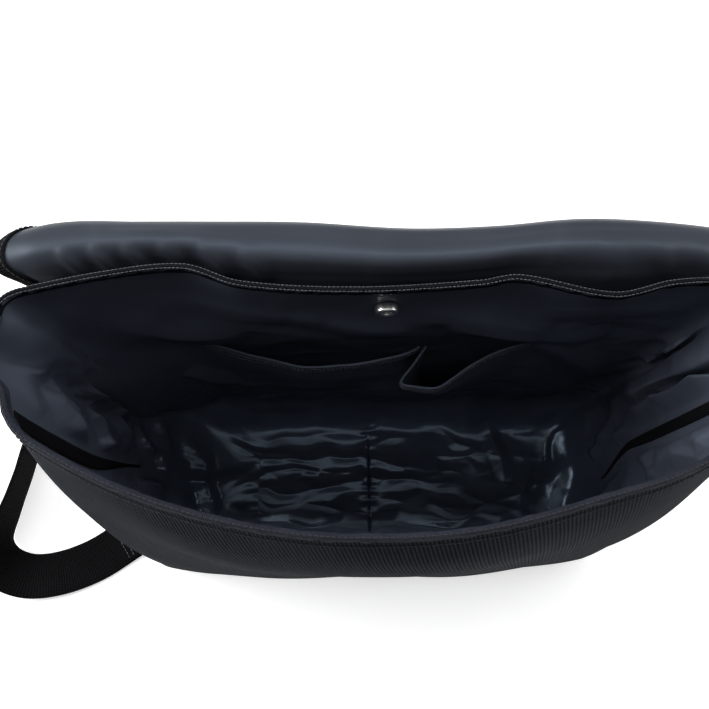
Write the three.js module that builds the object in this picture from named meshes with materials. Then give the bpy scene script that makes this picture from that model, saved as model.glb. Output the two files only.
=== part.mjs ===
// Soft bicycle front bag, standing upright with its mouth open and its flap thrown back.
// Millimetres, +X right, +Y back, +Z up; the origin is the middle of the flat base.
import * as THREE from "three";

// Cloth thicknesses and the clearance kept between neighbouring pieces
const WALL = 1.6;
const LINING = 1.0;
const LAYER_GAP = 0.4;
const SEAM_GAP = 0.3;
const LINING_OUT = WALL + LAYER_GAP;
const LINING_IN = LINING_OUT + LINING;

// Base: the walls turn in over a rounded edge and meet a stiff flat panel
const BASE_ROUND = 14;
const BASE_THICK = 2.7;
const FLOOR_Z = 3.1;
const FLOOR_SEAM_X = -5;
const FLOOR_INSET = 2.0;

// Steps of the mesh around each panel and of the rounded base edge in degrees
const FRONT_BOW_STEPS = 16;
const FRONT_TURN_STEPS = 3;
const FRONT_SIDE_STEPS = 2;
const FRONT_STEPS = FRONT_BOW_STEPS + 2 * (FRONT_TURN_STEPS + FRONT_SIDE_STEPS);
const GUSSET_STEPS = 7;
const BACK_STEPS = 20;
const ROUND_ANGLES = [0, 25, 55];

// Wall sections from the base edge to the rim. half: half width; back: back wall;
// mid, end: front wall at its middle and at its corners; bow: how late the front curves back;
// bulge: end panel pushed out; wave: share of the rim's waves
const SECTIONS = [
  { z: 14, half: 195, back: 80, mid: -76.5, end: -65, bow: 5.0, bulge: 0, wave: 0 },
  { z: 60, half: 202, back: 82, mid: -78.5, end: -57, bow: 4.2, bulge: 2, wave: 0 },
  { z: 120, half: 208, back: 82, mid: -80.5, end: -45, bow: 3.6, bulge: 4, wave: 0 },
  { z: 180, half: 211, back: 82, mid: -81.5, end: -32, bow: 2.8, bulge: 6, wave: 0.05 },
  { z: 235, half: 212, back: 80, mid: -82, end: -19, bow: 2.3, bulge: 11, wave: 0.35 },
  { z: 262, half: 212, back: 78.5, mid: -77.5, end: -12.5, bow: 2.1, bulge: 13.5, wave: 0.65 },
  { z: 280, half: 211.5, back: 77, mid: -70, end: -8.3, bow: 2.05, bulge: 14.5, wave: 0.9 },
  { z: 290, half: 211, back: 76, mid: -66, end: -6, bow: 2.0, bulge: 15, wave: 1 },
];
const FRONT_CORNER = 16;
// The front panel runs round both corners to a seam on each end, and sits further back at its right
const SEAM_Y_LEFT = 11;
const SEAM_Y_RIGHT = 20;
const FRONT_SKEW = 4;
const BACK_CORNER = 14;

// Waves of the slack rim: push along Y and lift along Z at places across the bag
const BACK_WAVES = [
  { x: -211, push: -6, lift: 2 },
  { x: -164, push: 6, lift: 5 },
  { x: -119, push: 10, lift: 6 },
  { x: -87, push: 0, lift: 5 },
  { x: -22, push: -4, lift: 5 },
  { x: 49, push: 0, lift: 5 },
  { x: 72, push: 3, lift: 6 },
  { x: 126, push: -7, lift: 4 },
  { x: 160, push: 0, lift: 5 },
  { x: 190, push: 1, lift: 4 },
  { x: 211, push: -6, lift: 2 },
];
const FRONT_WAVES = [
  { x: -211, push: 0, lift: 0 },
  { x: -150, push: 2, lift: 1 },
  { x: -60, push: -2, lift: 1 },
  { x: 0, push: 0, lift: -1 },
  { x: 100, push: 1, lift: 1 },
  { x: 150, push: -3, lift: 1 },
  { x: 211, push: 0, lift: 0 },
];

// Rim binding: a folded tape over the edges of wall and lining, down to the last section but one
const RIM_TAPE = 0.9;

// Corner tapes over the inside front seams
const TAPE_HALF = 5;
const TAPE_THICK = 1.0;

// Flap: its path in the Y-Z plane is a root line, a roll and a hanging drop
const FLAP_ROOT_Z = 256;
const FLAP_SEAT = 0.85;
const FLAP_STAND = 3.6;
const FLAP_BOUND_FROM = 12;
const FLAP_ROLL = 16.5;
const FLAP_ROLL_Z = 281;
const FLAP_DROP = 232;
const FLAP_LEAN = 7;
const FLAP_OUTER = 1.8;
const FLAP_LINING = 1.4;
const FLAP_GAP = 0.3;
const FLAP_STEPS_X = 18;
const FLAP_CORNER = 46;
const FLAP_BINDING = 0.9;
const FLAP_BINDING_WIDE = 9;
// Half width of the flap along its length, and the waves of its roll across the bag
const FLAP_WIDTHS = [
  { s: 0, half: 203 },
  { s: 24, half: 219 },
  { s: 44, half: 232 },
  { s: 62, half: 229 },
  { s: 82, half: 213 },
  { s: 110, half: 198 },
  { s: 200, half: 192 },
  { s: 330, half: 188 },
];
const FLAP_WAVES = [
  { x: -236, push: -6, lift: -12 },
  { x: -220, push: -1, lift: -6 },
  { x: -190, push: 2, lift: -1 },
  { x: -150, push: 1, lift: 1 },
  { x: -111, push: 1, lift: 1 },
  { x: -53, push: 1, lift: 0 },
  { x: 10, push: -2, lift: -2 },
  { x: 62, push: -1, lift: -1 },
  { x: 110, push: 2, lift: 2 },
  { x: 150, push: 2, lift: 0 },
  { x: 200, push: -1, lift: -5 },
  { x: 236, push: -6, lift: -12 },
];

// Pockets on the inside of the back wall. off: how far the hem stands from the wall; hem: its height
const POCKET_THICK = 1.0;
const POCKET_FOOT_Z = 52;
const POCKET_ROWS = 5;
const POCKET_SEAT = 0.35;
const SLIP_HEM = [
  { x: -128, off: 0, hem: 184 },
  { x: -105, off: 7, hem: 189 },
  { x: -84, off: 12, hem: 190 },
  { x: -58, off: 19, hem: 190 },
  { x: -31, off: 18, hem: 190 },
  { x: -10, off: 15, hem: 190 },
  { x: 11, off: 10, hem: 188 },
  { x: 26, off: 3, hem: 186 },
];
const PHONE_HEM = [
  { x: 31, off: 3, hem: 186 },
  { x: 21, off: 17, hem: 188 },
  { x: 12, off: 30, hem: 190 },
  { x: 20, off: 33.5, hem: 191 },
  { x: 36, off: 35, hem: 191 },
  { x: 48, off: 28, hem: 190 },
  { x: 61, off: 19, hem: 189 },
  { x: 82, off: 8, hem: 188 },
  { x: 106, off: 0, hem: 186 },
];

// Magnetic snap halves: a cupped disc on the back wall and a studded disc on the front wall
const SNAP_X = -2;
const SNAP_Z = 265;
const SNAP_RADIUS = 7;
const SNAP_THICK = 5.4;
const SNAP_HOLE = 3.4;
const SNAP_STUD = 2.9;
const SNAP_STUD_BASE = 3.2;
const SNAP_STUD_LONG = 3.8;
const SNAP_STEPS = 20;

// Webbing strap: middle line from the tucked-in lower end to the sewn upper end.
// across, tilt: compass angle and rise of the width; lift: height of the lower edge above the floor
const STRAP_WIDE = 38;
const STRAP_THICK = 2;
const STRAP_CLEAR = 0.4;
const STRAP_STEPS = 46;
const STRAP_ROUTE = [
  { x: -199, y: -27, across: -56, tilt: 0, lift: 0 },
  { x: -222, y: -43, across: -58, tilt: 0, lift: 0 },
  { x: -250, y: -61, across: -66, tilt: 0, lift: 0 },
  { x: -280, y: -72, across: -82, tilt: 3, lift: 0 },
  { x: -308, y: -74, across: -100, tilt: 8, lift: 0 },
  { x: -329, y: -64, across: -135, tilt: 32, lift: 0 },
  { x: -333, y: -45, across: -168, tilt: 68, lift: 0 },
  { x: -325, y: -20, across: -180, tilt: 86, lift: 0 },
  { x: -318, y: 10, across: -184, tilt: 90, lift: 0 },
  { x: -312, y: 40, across: -192, tilt: 88, lift: 0 },
  { x: -298, y: 66, across: -226, tilt: 74, lift: 0 },
  { x: -276, y: 72, across: -258, tilt: 40, lift: 1 },
  { x: -254, y: 66, across: -270, tilt: 12, lift: 5 },
  { x: -238, y: 58, across: -272, tilt: 0, lift: 22 },
  { x: -228, y: 51, across: -271, tilt: 0, lift: 60 },
  { x: -223.8, y: 46, across: -270, tilt: 0, lift: 112 },
  { x: -222.6, y: 42, across: -270, tilt: 0, lift: 160 },
  { x: -222.9, y: 39, across: -270, tilt: 0, lift: 198 },
  { x: -223.6, y: 37, across: -270, tilt: 0, lift: 226 },
];
// Tab sewn over the strap's lower end
const TAB_LONG = 24;
const TAB_WIDE = 34;
const TAB_THICK = 1.8;
const TAB_RISE = 3.1;

const MATERIALS = {
  outer: { color: 0x343844, roughness: 0.72, metalness: 0 },
  lining: { color: 0x0d1118, roughness: 0.38, metalness: 0 },
  hem: { color: 0x454956, roughness: 0.6, metalness: 0 },
  flap_satin: { color: 0x4b505b, roughness: 0.5, metalness: 0 },
  binding: { color: 0x16171a, roughness: 0.8, metalness: 0 },
  webbing: { color: 0x101113, roughness: 0.7, metalness: 0 },
  nickel: { color: 0xc9cbd0, roughness: 0.2, metalness: 1 },
};

const part = new THREE.Group();

function addPiece(name, slot, geometry) {
  const mesh = new THREE.Mesh(geometry, new THREE.MeshStandardMaterial(MATERIALS[slot]));
  mesh.name = name;
  part.add(mesh);
}

// Smooth value of one column of a table whose rows are ordered by another column
function tableValue(table, key, at, column) {
  const last = table.length - 1;
  let i = 0;
  while (i < last - 1 && at > table[i + 1][key]) {
    i += 1;
  }
  const span = table[i + 1][key] - table[i][key];
  const t = THREE.MathUtils.clamp((at - table[i][key]) / span, 0, 1);
  const before = table[Math.max(i - 1, 0)];
  const after = table[Math.min(i + 2, last)];
  const slopeA = (table[i + 1][column] - before[column]) / (table[i + 1][key] - before[key]);
  const slopeB = (after[column] - table[i][column]) / (after[key] - table[i][key]);
  const t2 = t * t;
  const t3 = t2 * t;
  return (
    (2 * t3 - 3 * t2 + 1) * table[i][column] +
    (t3 - 2 * t2 + t) * span * slopeA +
    (3 * t2 - 2 * t3) * table[i + 1][column] +
    (t3 - t2) * span * slopeB
  );
}

// Smooth value of one column along a table whose rows are taken as evenly spaced
function rowValue(table, t, column) {
  const place = THREE.MathUtils.clamp(t, 0, 1) * (table.length - 1);
  const i = Math.min(Math.floor(place), table.length - 2);
  const at = (k) => table[THREE.MathUtils.clamp(k, 0, table.length - 1)][column];
  const f = place - i;
  const a = at(i - 1);
  const b = at(i);
  const c = at(i + 1);
  const d = at(i + 2);
  return 0.5 * (2 * b + (c - a) * f + (2 * a - 5 * b + 4 * c - d) * f * f + (3 * b - a - 3 * c + d) * f ** 3);
}

// Geometry of a closed list of triangles, turned so that its faces point outwards
function solidFrom(triangles) {
  const positions = [];
  let volume = 0;
  for (const [a, b, c] of triangles) {
    volume += a.dot(b.clone().cross(c));
  }
  for (const [a, b, c] of triangles) {
    const turned = volume < 0 ? [a, c, b] : [a, b, c];
    for (const point of turned) {
      positions.push(point.x, point.y, point.z);
    }
  }
  const geometry = new THREE.BufferGeometry();
  geometry.setAttribute("position", new THREE.Float32BufferAttribute(positions, 3));
  geometry.computeVertexNormals();
  return geometry;
}

function quad(triangles, a, b, c, d) {
  triangles.push([a, b, c], [a, c, d]);
}

// Closed sheet between two equal grids of points [column][row]; face A is the outside,
// seen with columns running right and rows running up. closed joins the last column to the first
function sheetSolid(faceA, faceB, closed) {
  const triangles = [];
  const columns = faceA.length;
  const rows = faceA[0].length;
  const spans = closed ? columns : columns - 1;
  for (let i = 0; i < spans; i += 1) {
    const k = (i + 1) % columns;
    for (let j = 0; j < rows - 1; j += 1) {
      quad(triangles, faceA[i][j], faceA[k][j], faceA[k][j + 1], faceA[i][j + 1]);
      quad(triangles, faceB[i][j], faceB[i][j + 1], faceB[k][j + 1], faceB[k][j]);
    }
    const top = rows - 1;
    quad(triangles, faceA[i][0], faceB[i][0], faceB[k][0], faceA[k][0]);
    quad(triangles, faceA[i][top], faceA[k][top], faceB[k][top], faceB[i][top]);
  }
  if (!closed) {
    const end = columns - 1;
    for (let j = 0; j < rows - 1; j += 1) {
      quad(triangles, faceA[0][j], faceA[0][j + 1], faceB[0][j + 1], faceB[0][j]);
      quad(triangles, faceA[end][j], faceB[end][j], faceB[end][j + 1], faceA[end][j + 1]);
    }
  }
  return solidFrom(triangles);
}

// Closed bar from equal rings of profile points, capped at both ends.
// Faces are split along the same diagonal as the sheets that they lie on
function barSolid(rings, profile) {
  const triangles = [];
  const count = rings[0].length;
  for (let i = 0; i < rings.length - 1; i += 1) {
    for (let j = 0; j < count; j += 1) {
      const k = (j + 1) % count;
      const corners = [rings[i][j], rings[i][k], rings[i + 1][k], rings[i + 1][j]];
      if (profile[k].y < profile[j].y) {
        corners.push(corners.shift());
      }
      quad(triangles, ...corners);
    }
  }
  const last = rings[rings.length - 1];
  const turn = Math.sign(THREE.ShapeUtils.area(profile));
  for (const [a, m, n] of THREE.ShapeUtils.triangulateShape(profile, [])) {
    const same = THREE.ShapeUtils.area([profile[a], profile[m], profile[n]]) * turn > 0;
    const [b, c] = same ? [m, n] : [n, m];
    triangles.push([rings[0][a], rings[0][c], rings[0][b]]);
    triangles.push([last[a], last[b], last[c]]);
  }
  return solidFrom(triangles);
}

// One height of the wall as named stretches of a loop, run anticlockwise seen from above
function sectionStretches(row, inset) {
  const half = row.half - inset;
  const back = row.back - inset;
  const mid = row.mid + inset;
  const end = row.end + inset;
  const backTurn = BACK_CORNER;
  const frontY = (x) =>
    mid + (end - mid) * (Math.abs(x) / half) ** row.bow + FRONT_SKEW * THREE.MathUtils.smoothstep(x, 30, 150);
  const cornerX = half - FRONT_CORNER;
  const seamY = (side) => (side < 0 ? SEAM_Y_LEFT : SEAM_Y_RIGHT);
  // Front corner on one side, from the bow round an elbow to the straight end
  const cornerTurn = (side) => {
    const y = frontY(side * cornerX);
    const elbow = y + (y - frontY(side * (cornerX - 1))) * FRONT_CORNER;
    return new THREE.QuadraticBezierCurve(
      new THREE.Vector2(side * cornerX, y),
      new THREE.Vector2(side * half, elbow),
      new THREE.Vector2(side * half, elbow + FRONT_CORNER * 0.8),
    );
  };
  const frontPoint = (t) => {
    const side = t < 0.5 ? -1 : 1;
    const step = FRONT_STEPS * Math.min(t, 1 - t);
    const turn = cornerTurn(side);
    if (step < FRONT_SIDE_STEPS) {
      const y = THREE.MathUtils.lerp(seamY(side), turn.v2.y, step / FRONT_SIDE_STEPS);
      return new THREE.Vector2(side * half, y);
    }
    const turned = (step - FRONT_SIDE_STEPS) / FRONT_TURN_STEPS;
    if (turned < 1) {
      return turn.getPoint(1 - turned);
    }
    const x = side * cornerX * (1 - (2 * (step - FRONT_SIDE_STEPS - FRONT_TURN_STEPS)) / FRONT_BOW_STEPS);
    return new THREE.Vector2(x, frontY(x));
  };
  const rearSeam = back - backTurn;
  const rear = new THREE.CurvePath();
  const rightTop = new THREE.Vector2(half - backTurn, back);
  const leftTop = new THREE.Vector2(-half + backTurn, back);
  const rightSeam = new THREE.Vector2(half, rearSeam);
  const leftSeam = new THREE.Vector2(-half, rearSeam);
  rear.add(new THREE.QuadraticBezierCurve(rightSeam, new THREE.Vector2(half, back), rightTop));
  rear.add(new THREE.LineCurve(rightTop, leftTop));
  rear.add(new THREE.QuadraticBezierCurve(leftTop, new THREE.Vector2(-half, back), leftSeam));
  const gusset = (side) => (t) => {
    const along = side > 0 ? t : 1 - t;
    const push = (row.bulge * (1 - Math.cos(2 * Math.PI * along))) / 2;
    return new THREE.Vector2(side * (half + push), THREE.MathUtils.lerp(seamY(side), rearSeam, along));
  };
  return [
    { name: "front_panel", steps: FRONT_STEPS, point: frontPoint },
    { name: "gusset_right", steps: GUSSET_STEPS, point: gusset(1) },
    { name: "back_panel", steps: BACK_STEPS, point: (t) => rear.getPoint(t) },
    { name: "gusset_left", steps: GUSSET_STEPS, point: gusset(-1) },
  ];
}

// Whole wall as columns around the bag and rows from the base edge to the rim
const roundRows = ROUND_ANGLES.map((angle) => {
  const radians = THREE.MathUtils.degToRad(angle);
  const inset = BASE_ROUND * (1 - Math.sin(radians));
  return { ...SECTIONS[0], z: BASE_ROUND * (1 - Math.cos(radians)), inset };
});
const wallRows = [...roundRows, ...SECTIONS.map((row) => ({ ...row, inset: 0 }))];
const panelStarts = {};
const wall = [];
wallRows.forEach((row, level) => {
  let column = 0;
  for (const stretch of sectionStretches(row, row.inset)) {
    panelStarts[stretch.name] = { from: column, steps: stretch.steps };
    for (let i = 0; i < stretch.steps; i += 1) {
      const p = stretch.point(i / stretch.steps);
      const rear = THREE.MathUtils.smoothstep(p.y, 0, row.back);
      const wave = (kind) => {
        const atFront = tableValue(FRONT_WAVES, "x", p.x, kind);
        const atBack = tableValue(BACK_WAVES, "x", p.x, kind);
        return THREE.MathUtils.lerp(atFront, atBack, rear) * row.wave;
      };
      if (level === 0) {
        wall.push([]);
      }
      wall[column].push(new THREE.Vector3(p.x, p.y + wave("push"), row.z + wave("lift")));
      column += 1;
    }
  }
});
const wallColumns = wall.length;
const topRow = wallRows.length - 1;

// Outward direction at each point of the wall
const wallOut = wall.map((points, i) =>
  points.map((point, j) => {
    const next = wall[(i + 1) % wallColumns][j];
    const previous = wall[(i + wallColumns - 1) % wallColumns][j];
    const around = next.clone().sub(previous);
    if (j === 0) {
      return new THREE.Vector3(0, 0, -1);
    }
    const above = points[Math.min(j + 1, topRow)];
    const below = points[j - 1];
    const up = above.clone().sub(below);
    return around.cross(up).normalize();
  }),
);

// Point of the wall moved inwards by a depth
function wallPoint(column, row, depth) {
  const i = ((column % wallColumns) + wallColumns) % wallColumns;
  return wall[i][row].clone().addScaledVector(wallOut[i][row], -depth);
}

// Columns of a panel at a depth, its two ends drawn back by half the seam gap
function panelFace(from, steps, firstRow, depth, drawn) {
  const face = [];
  for (let i = 0; i <= steps; i += 1) {
    const columnPoints = [];
    for (let j = firstRow; j <= topRow; j += 1) {
      const point = wallPoint(from + i, j, depth);
      if (drawn > 0 && (i === 0 || i === steps)) {
        const inner = wallPoint(from + (i === 0 ? 1 : steps - 1), j, depth);
        point.addScaledVector(inner.sub(point).normalize(), drawn);
      }
      columnPoints.push(point);
    }
    face.push(columnPoints);
  }
  return face;
}

for (const [name, place] of Object.entries(panelStarts)) {
  const outside = panelFace(place.from, place.steps, 0, 0, SEAM_GAP / 2);
  const inside = panelFace(place.from, place.steps, 0, WALL, SEAM_GAP / 2);
  addPiece(name, "outer", sheetSolid(outside, inside, false));
}

// Lining: one ring of wall lining
const liningOutside = panelFace(0, wallColumns - 1, 1, LINING_OUT, 0);
const liningInside = panelFace(0, wallColumns - 1, 1, LINING_IN, 0);
addPiece("lining_walls", "lining", sheetSolid(liningOutside, liningInside, true));

// Flat plates with the outline of a loop of points, drawn in by an inset
function insetLoop(loop, inset) {
  return loop.map((point, i) => {
    const next = loop[(i + 1) % loop.length];
    const previous = loop[(i + loop.length - 1) % loop.length];
    const along = next.clone().sub(previous).normalize();
    return new THREE.Vector2(point.x - along.y * inset, point.y + along.x * inset);
  });
}

function plate(outline, bottom, thick) {
  const geometry = new THREE.ExtrudeGeometry(new THREE.Shape(outline), { depth: thick, bevelEnabled: false });
  geometry.translate(0, 0, bottom);
  return geometry;
}

const baseLoop = insetLoop(wall.map((points) => new THREE.Vector2(points[0].x, points[0].y)), SEAM_GAP);
addPiece("base_panel", "outer", plate(baseLoop, 0, BASE_THICK));

// Floor lining in two halves that meet at the centre seam
const floorLoop = insetLoop(
  wall.map((points) => new THREE.Vector2(points[1].x, points[1].y)),
  FLOOR_INSET,
);
function cutFloor(side) {
  const kept = [];
  const edge = FLOOR_SEAM_X + (side * SEAM_GAP) / 2;
  floorLoop.forEach((point, i) => {
    const next = floorLoop[(i + 1) % floorLoop.length];
    const inside = side * (point.x - edge) > 0;
    if (inside) {
      kept.push(point);
    }
    if (inside !== side * (next.x - edge) > 0) {
      const t = (edge - point.x) / (next.x - point.x);
      kept.push(point.clone().lerp(next, t));
    }
  });
  return kept;
}
addPiece("lining_floor_left", "lining", plate(cutFloor(-1), FLOOR_Z, LINING));
addPiece("lining_floor_right", "lining", plate(cutFloor(1), FLOOR_Z, LINING));

// Rim binding: a folded tape whose legs lie on the wall and on the lining
const legOut = -SEAM_GAP;
const legIn = LINING_IN + SEAM_GAP;
const rimProfile = [
  { depth: legOut - RIM_TAPE, low: 1, over: 0 },
  { depth: legOut - RIM_TAPE, low: 0, over: SEAM_GAP + RIM_TAPE },
  { depth: legIn + RIM_TAPE, low: 0, over: SEAM_GAP + RIM_TAPE },
  { depth: legIn + RIM_TAPE, low: 1, over: 0 },
  { depth: legIn, low: 1, over: 0 },
  { depth: legIn, low: 0, over: SEAM_GAP },
  { depth: legOut, low: 0, over: SEAM_GAP },
  { depth: legOut, low: 1, over: 0 },
];

function rimRing(column) {
  return rimProfile.map(({ depth, low, over }) => {
    const point = wallPoint(column, topRow - low, depth);
    point.z += over;
    return point;
  });
}

function rimBinding(from, steps) {
  const rings = [];
  for (let i = 0; i <= steps; i += 1) {
    rings.push(rimRing(from + i));
  }
  const pull = (ring, next) =>
    ring.forEach((point, j) => point.addScaledVector(next[j].clone().sub(point).normalize(), SEAM_GAP / 2));
  pull(rings[0], rings[1]);
  pull(rings[steps], rings[steps - 1]);
  const profile = rimProfile.map(({ depth, low, over }) => new THREE.Vector2(-depth, over - 10 * low));
  return barSolid(rings, profile);
}

const backFrom = panelStarts.back_panel.from;
const frontSpan = GUSSET_STEPS + FRONT_STEPS + GUSSET_STEPS;
addPiece("rim_binding_front", "hem", rimBinding(panelStarts.gusset_left.from, frontSpan));
addPiece("rim_binding_back", "hem", rimBinding(backFrom, BACK_STEPS));

// Corner tapes: strips along the front seams, on the lining below the rim binding
function cornerTape(seamColumn) {
  const face = (depth) =>
    [-1, 0, 1].map((step) => {
      const columnPoints = [];
      for (let j = 2; j < topRow; j += 1) {
        const middle = wallPoint(seamColumn, j, depth);
        const side = wallPoint(seamColumn + step, j, depth);
        const point = step === 0 ? middle : middle.clone().lerp(side, TAPE_HALF / middle.distanceTo(side));
        if (j === topRow - 1) {
          point.z -= 2 * SEAM_GAP;
        }
        columnPoints.push(point);
      }
      return columnPoints;
    });
  const seat = LINING_IN + 1.7 * SEAM_GAP;
  return sheetSolid(face(seat), face(seat + TAPE_THICK), false);
}
addPiece("corner_tape_left", "binding", cornerTape(0));
addPiece("corner_tape_right", "binding", cornerTape(FRONT_STEPS));

// Y of the back wall at a place across, a height and a depth into the wall
function backFace(x, z, depth) {
  let found = 0;
  for (let i = backFrom; i < backFrom + BACK_STEPS; i += 1) {
    const t = (wall[i][topRow].x - x) / (wall[i][topRow].x - wall[i + 1][topRow].x);
    if (t >= 0 && t < 1) {
      for (let j = 3; j < topRow; j += 1) {
        const low = wallPoint(i, j, depth).lerp(wallPoint(i + 1, j, depth), t);
        const high = wallPoint(i, j + 1, depth).lerp(wallPoint(i + 1, j + 1, depth), t);
        if (z >= low.z && z <= high.z) {
          found = THREE.MathUtils.lerp(low.y, high.y, (z - low.z) / (high.z - low.z));
        }
      }
    }
  }
  return found;
}

// Flap path in the Y-Z plane at a length from its sewn root, with the direction that faces up and out
const ROOT_LONG = FLAP_ROLL_Z - FLAP_ROOT_Z;
const ROLL_LONG = Math.PI * FLAP_ROLL;
const FLAP_LONG = ROOT_LONG + ROLL_LONG + FLAP_DROP;
const halfGap = FLAP_GAP / 2;
const rootMid = backFace(0, FLAP_ROOT_Z, 0);
const rootY = rootMid + FLAP_SEAT + FLAP_LINING + halfGap;
const rollY = rootY + FLAP_STAND + FLAP_ROLL;

function flapPath(s) {
  if (s < ROOT_LONG) {
    return { y: rootY + (FLAP_STAND * s) / ROOT_LONG, z: FLAP_ROOT_Z + s, ny: -1, nz: 0 };
  }
  if (s < ROOT_LONG + ROLL_LONG) {
    const angle = Math.PI - (s - ROOT_LONG) / FLAP_ROLL;
    const ny = Math.cos(angle);
    const nz = Math.sin(angle);
    return { y: rollY + FLAP_ROLL * ny, z: FLAP_ROLL_Z + FLAP_ROLL * nz, ny, nz };
  }
  const t = (s - ROOT_LONG - ROLL_LONG) / FLAP_DROP;
  return { y: rollY + FLAP_ROLL - FLAP_LEAN * t * t, z: FLAP_ROLL_Z - FLAP_DROP * t, ny: 1, nz: 0 };
}

// Point of the flap: x across, s along, h off its middle surface towards the lining side
function flapPoint(x, s, h) {
  const p = flapPath(s);
  const grow = THREE.MathUtils.smoothstep(s, 12, ROOT_LONG + ROLL_LONG * 0.5);
  const high = grow * (1 - THREE.MathUtils.smoothstep(s, ROOT_LONG + ROLL_LONG * 0.7, ROOT_LONG + ROLL_LONG + 60));
  const slack = grow * (1 - THREE.MathUtils.smoothstep(s, ROOT_LONG + ROLL_LONG, FLAP_LONG - 2 * FLAP_CORNER));
  const push = tableValue(FLAP_WAVES, "x", x, "push") * slack;
  const lift = tableValue(FLAP_WAVES, "x", x, "lift") * high;
  const rooted = 1 - THREE.MathUtils.smoothstep(s, ROOT_LONG, ROOT_LONG + ROLL_LONG * 0.8);
  const follow = (backFace(THREE.MathUtils.clamp(x, -192, 192), FLAP_ROOT_Z, 0) - rootMid) * rooted;
  return new THREE.Vector3(x, p.y + push + follow + p.ny * h, p.z + lift + p.nz * h);
}

// Stations along the flap where its mesh has rows: on the sides a length, on the corners an angle
const flapStations = [];
for (let i = 0; i <= 2; i += 1) {
  flapStations.push({ s: (ROOT_LONG * i) / 2, angle: 0 });
}
for (let i = 1; i <= 8; i += 1) {
  flapStations.push({ s: ROOT_LONG + (ROLL_LONG * i) / 8, angle: 0 });
}
for (let i = 1; i <= 3; i += 1) {
  flapStations.push({ s: ROOT_LONG + ROLL_LONG + ((FLAP_DROP - FLAP_CORNER) * i) / 3, angle: 0 });
}
for (const angle of [22.5, 45, 67.5, 90]) {
  flapStations.push({ s: FLAP_LONG - FLAP_CORNER, angle: THREE.MathUtils.degToRad(angle) });
}

// Place on the flap's outline at a station, drawn in by an inset
function flapOutline(station, inset) {
  const radius = FLAP_CORNER - inset;
  const s = station.s + radius * Math.sin(station.angle);
  const width = tableValue(FLAP_WIDTHS, "s", s, "half");
  return { x: width - FLAP_CORNER + radius * Math.cos(station.angle), s };
}

const flapEdge = FLAP_BINDING + 2.5 * SEAM_GAP;
function flapFace(h) {
  const face = [];
  for (let i = 0; i <= FLAP_STEPS_X; i += 1) {
    const u = THREE.MathUtils.clamp((2 * (i - 1)) / (FLAP_STEPS_X - 2) - 1, -1, 1);
    const isEdge = i === 0 || i === FLAP_STEPS_X;
    const inset = isEdge ? 0 : FLAP_BINDING_WIDE - flapEdge;
    const columnPoints = flapStations.map((station) => {
      const edge = flapOutline(station, flapEdge);
      return flapPoint(u * (edge.x - inset), edge.s, h);
    });
    face.push(columnPoints);
  }
  return face;
}
addPiece("flap_lining", "flap_satin", sheetSolid(flapFace(halfGap + FLAP_LINING), flapFace(halfGap), false));
addPiece("flap_outer", "outer", sheetSolid(flapFace(-halfGap), flapFace(-halfGap - FLAP_OUTER), false));

// Flap binding: a tape folded over the two sides and the free end
const bindTop = halfGap + FLAP_LINING + 1.5 * SEAM_GAP;
const bindUnder = -halfGap - FLAP_OUTER - 2 * SEAM_GAP;
const bindProfile = [
  { inward: FLAP_BINDING_WIDE, h: bindTop },
  { inward: FLAP_BINDING_WIDE, h: bindTop + FLAP_BINDING },
  { inward: 0, h: bindTop + FLAP_BINDING },
  { inward: 0, h: bindUnder - FLAP_BINDING },
  { inward: FLAP_BINDING_WIDE, h: bindUnder - FLAP_BINDING },
  { inward: FLAP_BINDING_WIDE, h: bindUnder },
  { inward: FLAP_BINDING, h: bindUnder },
  { inward: FLAP_BINDING, h: bindTop },
];
const rightEdge = flapStations.filter((station) => station.s >= FLAP_BOUND_FROM).map((station) => ({
  ...flapOutline(station, 0),
  angle: station.angle,
}));
const corner = rightEdge[rightEdge.length - 1];
const edgePath = [...rightEdge];
for (let i = 1; i < 8; i += 1) {
  edgePath.push({ x: corner.x * (1 - i / 4), s: FLAP_LONG, angle: Math.PI / 2 });
}
for (const { x, s, angle } of [...rightEdge].reverse()) {
  edgePath.push({ x: -x, s, angle: Math.PI - angle });
}
const bindRings = edgePath.map(({ x, s, angle }) =>
  bindProfile.map(({ inward, h }) =>
    flapPoint(x - Math.cos(angle) * inward, s - Math.sin(angle) * inward, h),
  ),
);
const bindShape = bindProfile.map(({ inward, h }) => new THREE.Vector2(h, -inward));
addPiece("flap_binding", "binding", barSolid(bindRings, bindShape));

// Pocket panel that stands off the back wall, most at its hem
function pocket(table, steps) {
  const middle = (t, v) => {
    const x = rowValue(table, t, "x");
    const hem = rowValue(table, t, "hem");
    const z = POCKET_FOOT_Z + (hem - POCKET_FOOT_Z) * v;
    const settled = THREE.MathUtils.lerp(table[0].x, table[table.length - 1].x, t);
    const open = THREE.MathUtils.smoothstep(v, 0, 1);
    const placeX = THREE.MathUtils.lerp(settled, x, open);
    const off = Math.max(rowValue(table, t, "off"), 0) * open + POCKET_SEAT + POCKET_THICK / 2;
    return new THREE.Vector3(placeX, backFace(placeX, z, LINING_IN) - off, z);
  };
  const faces = [[], []];
  for (let i = 0; i <= steps; i += 1) {
    const rowA = [];
    const rowB = [];
    for (let j = 0; j <= POCKET_ROWS; j += 1) {
      const t = i / steps;
      const v = j / POCKET_ROWS;
      const here = middle(t, v);
      const along = middle(Math.min(t + 0.01, 1), v).sub(middle(Math.max(t - 0.01, 0), v));
      const up = middle(t, Math.min(v + 0.02, 1)).sub(middle(t, Math.max(v - 0.02, 0)));
      const normal = along.cross(up).normalize();
      rowA.push(here.clone().addScaledVector(normal, POCKET_THICK / 2));
      rowB.push(here.clone().addScaledVector(normal, -POCKET_THICK / 2));
    }
    faces[0].push(rowA);
    faces[1].push(rowB);
  }
  return sheetSolid(faces[0], faces[1], false);
}
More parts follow.
